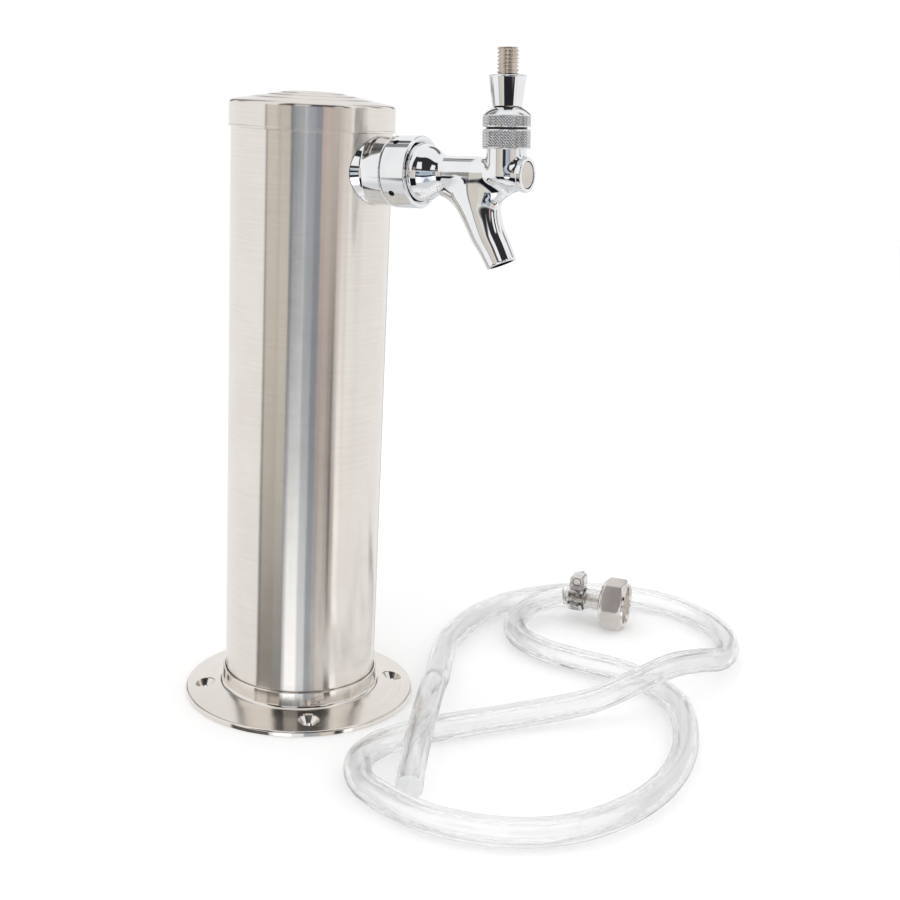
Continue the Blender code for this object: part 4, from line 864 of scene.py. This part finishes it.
def spout_field(side, out, up):
    """Distance to the spout: the ellipse of the cross-section in whose plane the point lies."""
    ahead = ((out[:, None] - spout_out) * np.sin(spout_lean)
             - (up[:, None] + spout_drop) * np.cos(spout_lean))
    last = np.clip((ahead > 0).sum(1) - 1, 0, len(spout_out) - 2)
    rows = np.arange(len(out))
    share = np.clip(ahead[rows, last] / (ahead[rows, last] - ahead[rows, last + 1]), 0, 1)
    middle, drop, depth, width, lean = (
        c[last] + share * (c[last + 1] - c[last])
        for c in (spout_out, spout_drop, spout_depth, spout_width, spout_lean))
    forward = (out - middle) * np.cos(lean) + (up + drop) * np.sin(lean)
    across = ellipse(forward, side, depth, width)
    return np.maximum(-smooth_min(-across, -ahead[:, -1], LIP_FILLET), -ahead[:, 0])


def casting_field(points):
    """Distance to the whole casting, from points as (side, out, up) in the shank's frame."""
    side, out, up = points.T
    radius = np.hypot(side, up)
    past = np.maximum(out - BELL_EDGE, 0)
    bell = ellipse(radius, past, BELL, BELL_DEPTH)
    taper = np.clip((out - TAPER_FROM) / TAPER_LONG, 0, 1)
    barrel = radius - (BARREL + (BOSS - BARREL) * taper * taper * (3 - 2 * taper))
    line = np.maximum(smooth_min(bell, barrel, BELL_FILLET),
                      np.maximum(CASTING_BACK - out, out - CASTING_FRONT))
    neck_side = np.hypot(side, out - LEVER_OUT)
    neck = np.where(up > 0, neck_side - NECK_RADIUS, ellipse(neck_side, up, NECK_RADIUS, NECK_DEPTH))
    neck = np.maximum(neck, up - NECK_TOP)
    body = smooth_min(line, neck, NECK_FILLET)
    # The spout is worked out for the points near it, some at a time, and far off for the others
    spout = np.full(len(side), 50.0)
    near = (up < 3) & (out > 34)
    for part in np.array_split(np.flatnonzero(near), max(1, near.sum() // 50000)):
        spout[part] = spout_field(side[part], out[part], up[part])
    blend = SPOUT_FILLET + SPOUT_WEB * np.maximum(1 - (side / WEB_WIDE) ** 2, 0) ** 2
    return smooth_min(body, spout, blend)


# %% Casting
net_points, net_faces = surface_net(casting_field, (-14.3, 17.9, -44.0), (14.3, 78.0, 14.3), 0.45)
casting = solid("faucet_casting", SHANK + net_points[:, :1] * SIDE + net_points[:, 1:2] * OUT
                + net_points[:, 2:] * UP, faces=net_faces, merge=0.02)
line_bore = solid("line_bore", lathe([
    (0, 17), (7.4, 17), (7.4, 33), (4.8, 33), (4.8, 36), (6.0, 36), (6.0, 80),
    (0, 80)], SHANK_FRAME, 97), closed=False)
ball_socket = solid("ball_socket", lathe(
    [(0, 0), (5.8, 0), (5.8, 9.6), (7.0, 9.6), (7.0, 15), (0, 15)], LEVER_FRAME, 97), closed=False)
# The bore follows every fourth section of the spout and goes on past its mouth
SPOUT_BORE = 5.2
spout_angle = (np.arange(65) * TAU / 65)[None, :, None]
inner_path = np.stack([spout_out, spout_drop, spout_lean], 1)[8::4]
inner_path = np.concatenate([inner_path, [inner_path[-1] + (inner_path[-1] - inner_path[-2]) * 2]])
c_out, c_drop, c_lean = (inner_path[:, None, k:k + 1] for k in range(3))
c_lean = np.minimum(c_lean, spout_sections[-1, 4])
lean_way = np.cos(c_lean) * OUT + np.sin(c_lean) * UP
ring_way = np.cos(spout_angle) * SIDE + np.sin(spout_angle) * lean_way
spout_bore = solid("spout_bore", SHANK + c_out * OUT - c_drop * UP + SPOUT_BORE * ring_way, closed=False)
finish_piece(carve(casting, line_bore, ball_socket, spout_bore), "tower", chrome,
             ["faucet_body"], crease=50)

# %% Flange, boss rim and knurled ring of the body
flange = solid("faucet_flange", lathe(rounded([
    (7.6, 18.8, 0), (13.9, 18.8, 0.2), (13.9, 20.1, 0.2), (12.5, 20.1, 0), (12.5, 21.5, 0),
    (7.6, 21.5, 0)]), SHANK_FRAME, 128))
finish_piece(flange, "tower", chrome)
rim = solid("boss_rim", lathe(rounded([
    (6.0, 74.0, 0), (6.8, 74.0, 0), (6.8, 74.5, 0), (7.53, 75.25, 0.3), (7.53, 77.4, 0.45),
    (6.0, 77.4, 0.15)], steps=6), SHANK_FRAME, 128))
finish_piece(rim, "tower", chrome)
ring_outline = rounded([(7.0, 10.9, 0), (RING, 10.9, 0.4), (RING, 19.3, 0.4), (9.0, 19.3, 0),
                        (9.0, 23.2, 0.3), (7.0, 23.2, 0)])
ring = solid("knurled_ring", lathe(dense(ring_outline, 11.29, 18.91, 0.12), LEVER_FRAME, 480,
                                   knurled(11.5, 18.7)))
finish_piece(ring, "tower", knurl_chrome_painted_shade)


# %% Shaft: a turned rod with a notch and a slot for the lever's tongue
def block(name, frame_axes, low, high):
    """A box between two corners, each given as x, y and the place along the frame's axis."""
    x = np.tile([low[0], high[0], high[0], low[0]], (2, 1))
    y = np.tile([low[1], low[1], high[1], high[1]], (2, 1))
    along = np.repeat([[low[2]], [high[2]]], 4, axis=1)
    return solid(name, put(frame_axes, x, y, along), closed=False)


shaft_outline = rounded([
    (0, 77.1, 0), (5.7, 77.1, 0.3), (5.7, 75.1, 0), (4.6, 75.1, 0), (4.6, 72.7, 0), (5.7, 72.7, 0),
    (5.7, 60.0, 0.2), (3.0, 60.0, 0), (3.0, 34.5, 0), (4.0, 34.5, 0), (4.0, 32.7, 0), (3.0, 32.7, 0),
    (3.0, 25.2, 0.2), (0, 25.2, 0)], closed=False)
shaft = solid("turned_shaft", lathe(shaft_outline, SHANK_FRAME, 96), closed=False)
carve(shaft, block("notch", SHANK_FRAME, (1.5, -8, 63.5), (8, 8, 71.2)),
      block("slot", SHANK_FRAME, (-2.7, -2.8, 63.9), (8, 2.8, 69.1)))
finish_piece(shaft, "shaft", shaft_steel, ["faucet_shaft"])

# %% [markdown]
# ## Nut, tailpiece and clamp on the hose
# The nut couples the line to the keg, the barbed tailpiece holds the hose by its ridges, and a
# worm-drive clamp squeezes the hose on it. They lie on their side at the hose's end, all about the
# axis on which the hose leaves the barb. A cylinder with six sides and a bevel would miss the curved
# edges that a turned chamfer leaves on a nut, so the nut's radius is worked out from its flats and
# two cones. The band's slots are faces left out of a strip before it gets its thickness.

# %% Swivel nut
# Rows of (radius, height) about its axis. The radius of a flat is flats / 2 / cos(angle from its
# middle), and the chamfer is a cone: the further out the corner, the lower it starts
angle = np.arange(144) * TAU / 144
corner = FLATS / 2 / np.cos(angle % (TAU / 6) - TAU / 12)
chamfer = (corner - CONE_RADIUS) * CONE_SLOPE
nut_rows = [
    (6.8, NUT_BACK), (12.2, NUT_BACK), (CONE_RADIUS, CONE_BACK), (corner, CONE_BACK + chamfer),
    (corner, CONE_FRONT - chamfer), (CONE_RADIUS, CONE_FRONT), (CONE_RADIUS, NUT_FRONT),
    (12.1, NUT_FRONT), (11.1, NUT_FRONT - 1.0), (11.1, 4.5), (6.8, 4.5)]
radius, along = (np.stack([np.broadcast_to(row[k], angle.shape) for row in nut_rows]) for k in (0, 1))
nut = solid("hexagon_nut", put(NUT_FRAME, radius * np.cos(angle), radius * np.sin(angle), along))
soften = nut.modifiers.new("soften", "BEVEL")
soften.width, soften.segments = 0.22 * MM, 3
soften.limit_method, soften.angle_limit = "ANGLE", math.radians(16)
settle(nut)
finish_piece(nut, "line_nut", nut_nickel, ["swivel_nut"], crease=40)

# %% Tailpiece
barb_rows, barb_gap = [], BARB_LENGTH / 5
for top in -barb_gap * np.arange(5):
    barb_rows += [(3.4, top, 0), (4.1, top - 0.25, 0.1), (4.1, top - 0.7, 0.1),
                  (3.45, top - barb_gap + 0.05, 0)]
tail_outline = rounded([(10.3, 6.8, 0.2), (10.3, 4.8, 0.2), (6.4, 4.8, 0), (6.4, 0.3, 0.3), *barb_rows,
                        (2.4, -BARB_LENGTH, 0), (2.4, 6.8, 0)])
tailpiece = solid("hose_tailpiece", lathe(tail_outline, NUT_FRAME, 96))
finish_piece(tailpiece, "tower", nickel, ["tailpiece"])

# %% Clamp band: a rolled strip with slanting slots, given its thickness by Solidify
CLAMP_AT, BAND_INNER, BAND_THICK, SLANT = -14.0, 6.95, 0.7, 0.045
COLUMNS, SLOTS_REACH = 128, 27
rows = np.array([-4.25, -4.0, -2.5, -1.25, 0, 1.25, 2.5, 4.0, 4.25])[:, None]
lay = np.arange(COLUMNS) * TAU / COLUMNS + SLANT * rows
faces = grid_faces(len(rows), COLUMNS, False).reshape(-1, COLUMNS, 4)
from_middle = np.arange(COLUMNS) - COLUMNS // 2
open_column = (np.abs(from_middle) <= SLOTS_REACH) & ((from_middle + 2) % 6 < 4)
keep = np.ones(faces.shape[:2], bool)
keep[2:6, open_column] = False
clamp = sheet("clamp_strip", put(NUT_FRAME, BAND_INNER * np.cos(lay), BAND_INNER * np.sin(lay),
                                 CLAMP_AT + rows), faces[keep])
thick = clamp.modifiers.new("thickness", "SOLIDIFY")
thick.thickness, thick.offset = BAND_THICK * MM, 1.0
settle(clamp)
finish_piece(clamp, "tower", clamp_steel, ["clamp_band"])

# %% Clamp screw and housing
# The screw lies across the hose, above the band, and the housing is a rounded box round it
SCREW_UP, SCREW_BORE, HOUSING_WIDE, HOUSING_TOP, HOUSING_FOOT = 11.45, 2.5, 4.25, 2.9, 7.75
SCREW_MIDDLE = NUT_MIDDLE + CLAMP_AT * NUT_AXIS + np.array([0, 0, SCREW_UP])
SCREW_FRAME = (SCREW_MIDDLE, np.array([0.0, 0.0, 1.0]), NUT_AXIS, NUT_SIDE)
screw = solid("clamp_worm", lathe(dense(rounded([
    (0, -5.0, 0), (2.2, -5.0, 0.3), (2.2, 5.3, 0), (3.0, 5.3, 0.2), (3.0, 8.3, 0.5),
    (0, 8.3, 0)], False), -4.8, 5.3, 0.12), SCREW_FRAME, 72,
    threaded(-4.6, 5.2, pitch=1.4, depth=0.45, core=1.5)), closed=False)
carve(screw, block("slot", SCREW_FRAME, (-4, -0.4, 7.0), (4, 0.4, 9.0)))
finish_piece(screw, "tower", nickel, ["clamp_screw"])

# The box: |x / top|^5 + |y / wide|^5 = 1, its lower half reaching down to the band's arc
around = np.arange(80) * TAU / 80
across, beside = np.cos(around), np.sin(around)
squared = (np.abs(across / HOUSING_TOP) ** 5 + np.abs(beside / HOUSING_WIDE) ** 5) ** -0.2
reach = np.array([-5.0, -4.7, -3.4, -1.7, 0, 1.7, 3.4, 4.7, 5.0])[:, None]
squared = squared - np.where(np.abs(reach) == 5.0, 0.25, 0)
up = squared * across
floor_depth = (SCREW_UP - np.sqrt(HOUSING_FOOT**2 - reach**2)) / HOUSING_TOP
outer = put(SCREW_FRAME, np.where(up < 0, up * floor_depth, up), squared * beside, reach)
inner = put(SCREW_FRAME, SCREW_BORE * across, SCREW_BORE * beside, reach)
housing = solid("clamp_box", np.concatenate([outer, inner[::-1]]))
finish_piece(housing, "tower", clamp_steel, ["clamp_housing"])

# %% The hose's first point and every seventh point of its middle line, in metres
(line_path[0] * MM).tolist()
(line_path[::7] * MM).tolist()

# %% [markdown]
# ## The pieces that keep their CAD shape
# Washers, inner nuts and the parts hidden in the column keep their CAD nodes and get a finish. They
# show when the cap is off or a piece is taken out, and a finer surface would add little there.

# %% Finishes for the kept nodes
kept = {
    "insulation_sleeve": foam, "cap_foam_disc": foam,
    "shank_tube": brass, "shaft_nut": brass,
    "shank_locknut": nickel, "tail_elbow": nickel, "tail_nut": nickel,
    "coupling_washer": black_rubber, "tail_washer": black_rubber, "lever_friction_washer": black_rubber,
    "shaft_friction_ring": black_rubber, "shaft_seat_washer": black_rubber,
    "inner_saddle_washer": white_plastic, "lever_bearing_cup": white_plastic,
    "tailpiece_washer": white_plastic,
}
for name, material in kept.items():
    dress(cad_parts[name], material, crease=35)
print(len(kept), "CAD nodes keep their shape")

# %% [markdown]
# ## Floor and light
# The floor is white and takes the object's soft shadow. A large lamp above the camera's left gives
# the shadow its direction; most of the light is the even white of the room. Reflections see neither
# the floor nor the lamp, only the room and its screens, as the metal does in the photograph.

# %% Floor
bpy.ops.mesh.primitive_plane_add(size=6)
floor = bpy.context.object
floor.name = "floor"
floor.data.materials.append(material_named("floor_paint", Base_Color=(1, 1, 1, 1), Roughness=0.9)[0])
floor.visible_glossy = False

# %% Lamp
lamp_data = bpy.data.lights.new("soft_lamp", "AREA")
lamp_data.shape, lamp_data.size, lamp_data.energy = "DISK", 0.9, 4.0
lamp = linked("soft_lamp", lamp_data)
lamp.location = (-0.9, -0.3, 1.5)
lamp.rotation_euler = (Vector((0, 0, 0.1)) - Vector(lamp.location)).to_track_quat("-Z", "Y").to_euler()
lamp.visible_glossy = False
print("floor and lamp placed")

# %% View and size
scene = bpy.context.scene
scene.view_settings.view_transform = "Standard"
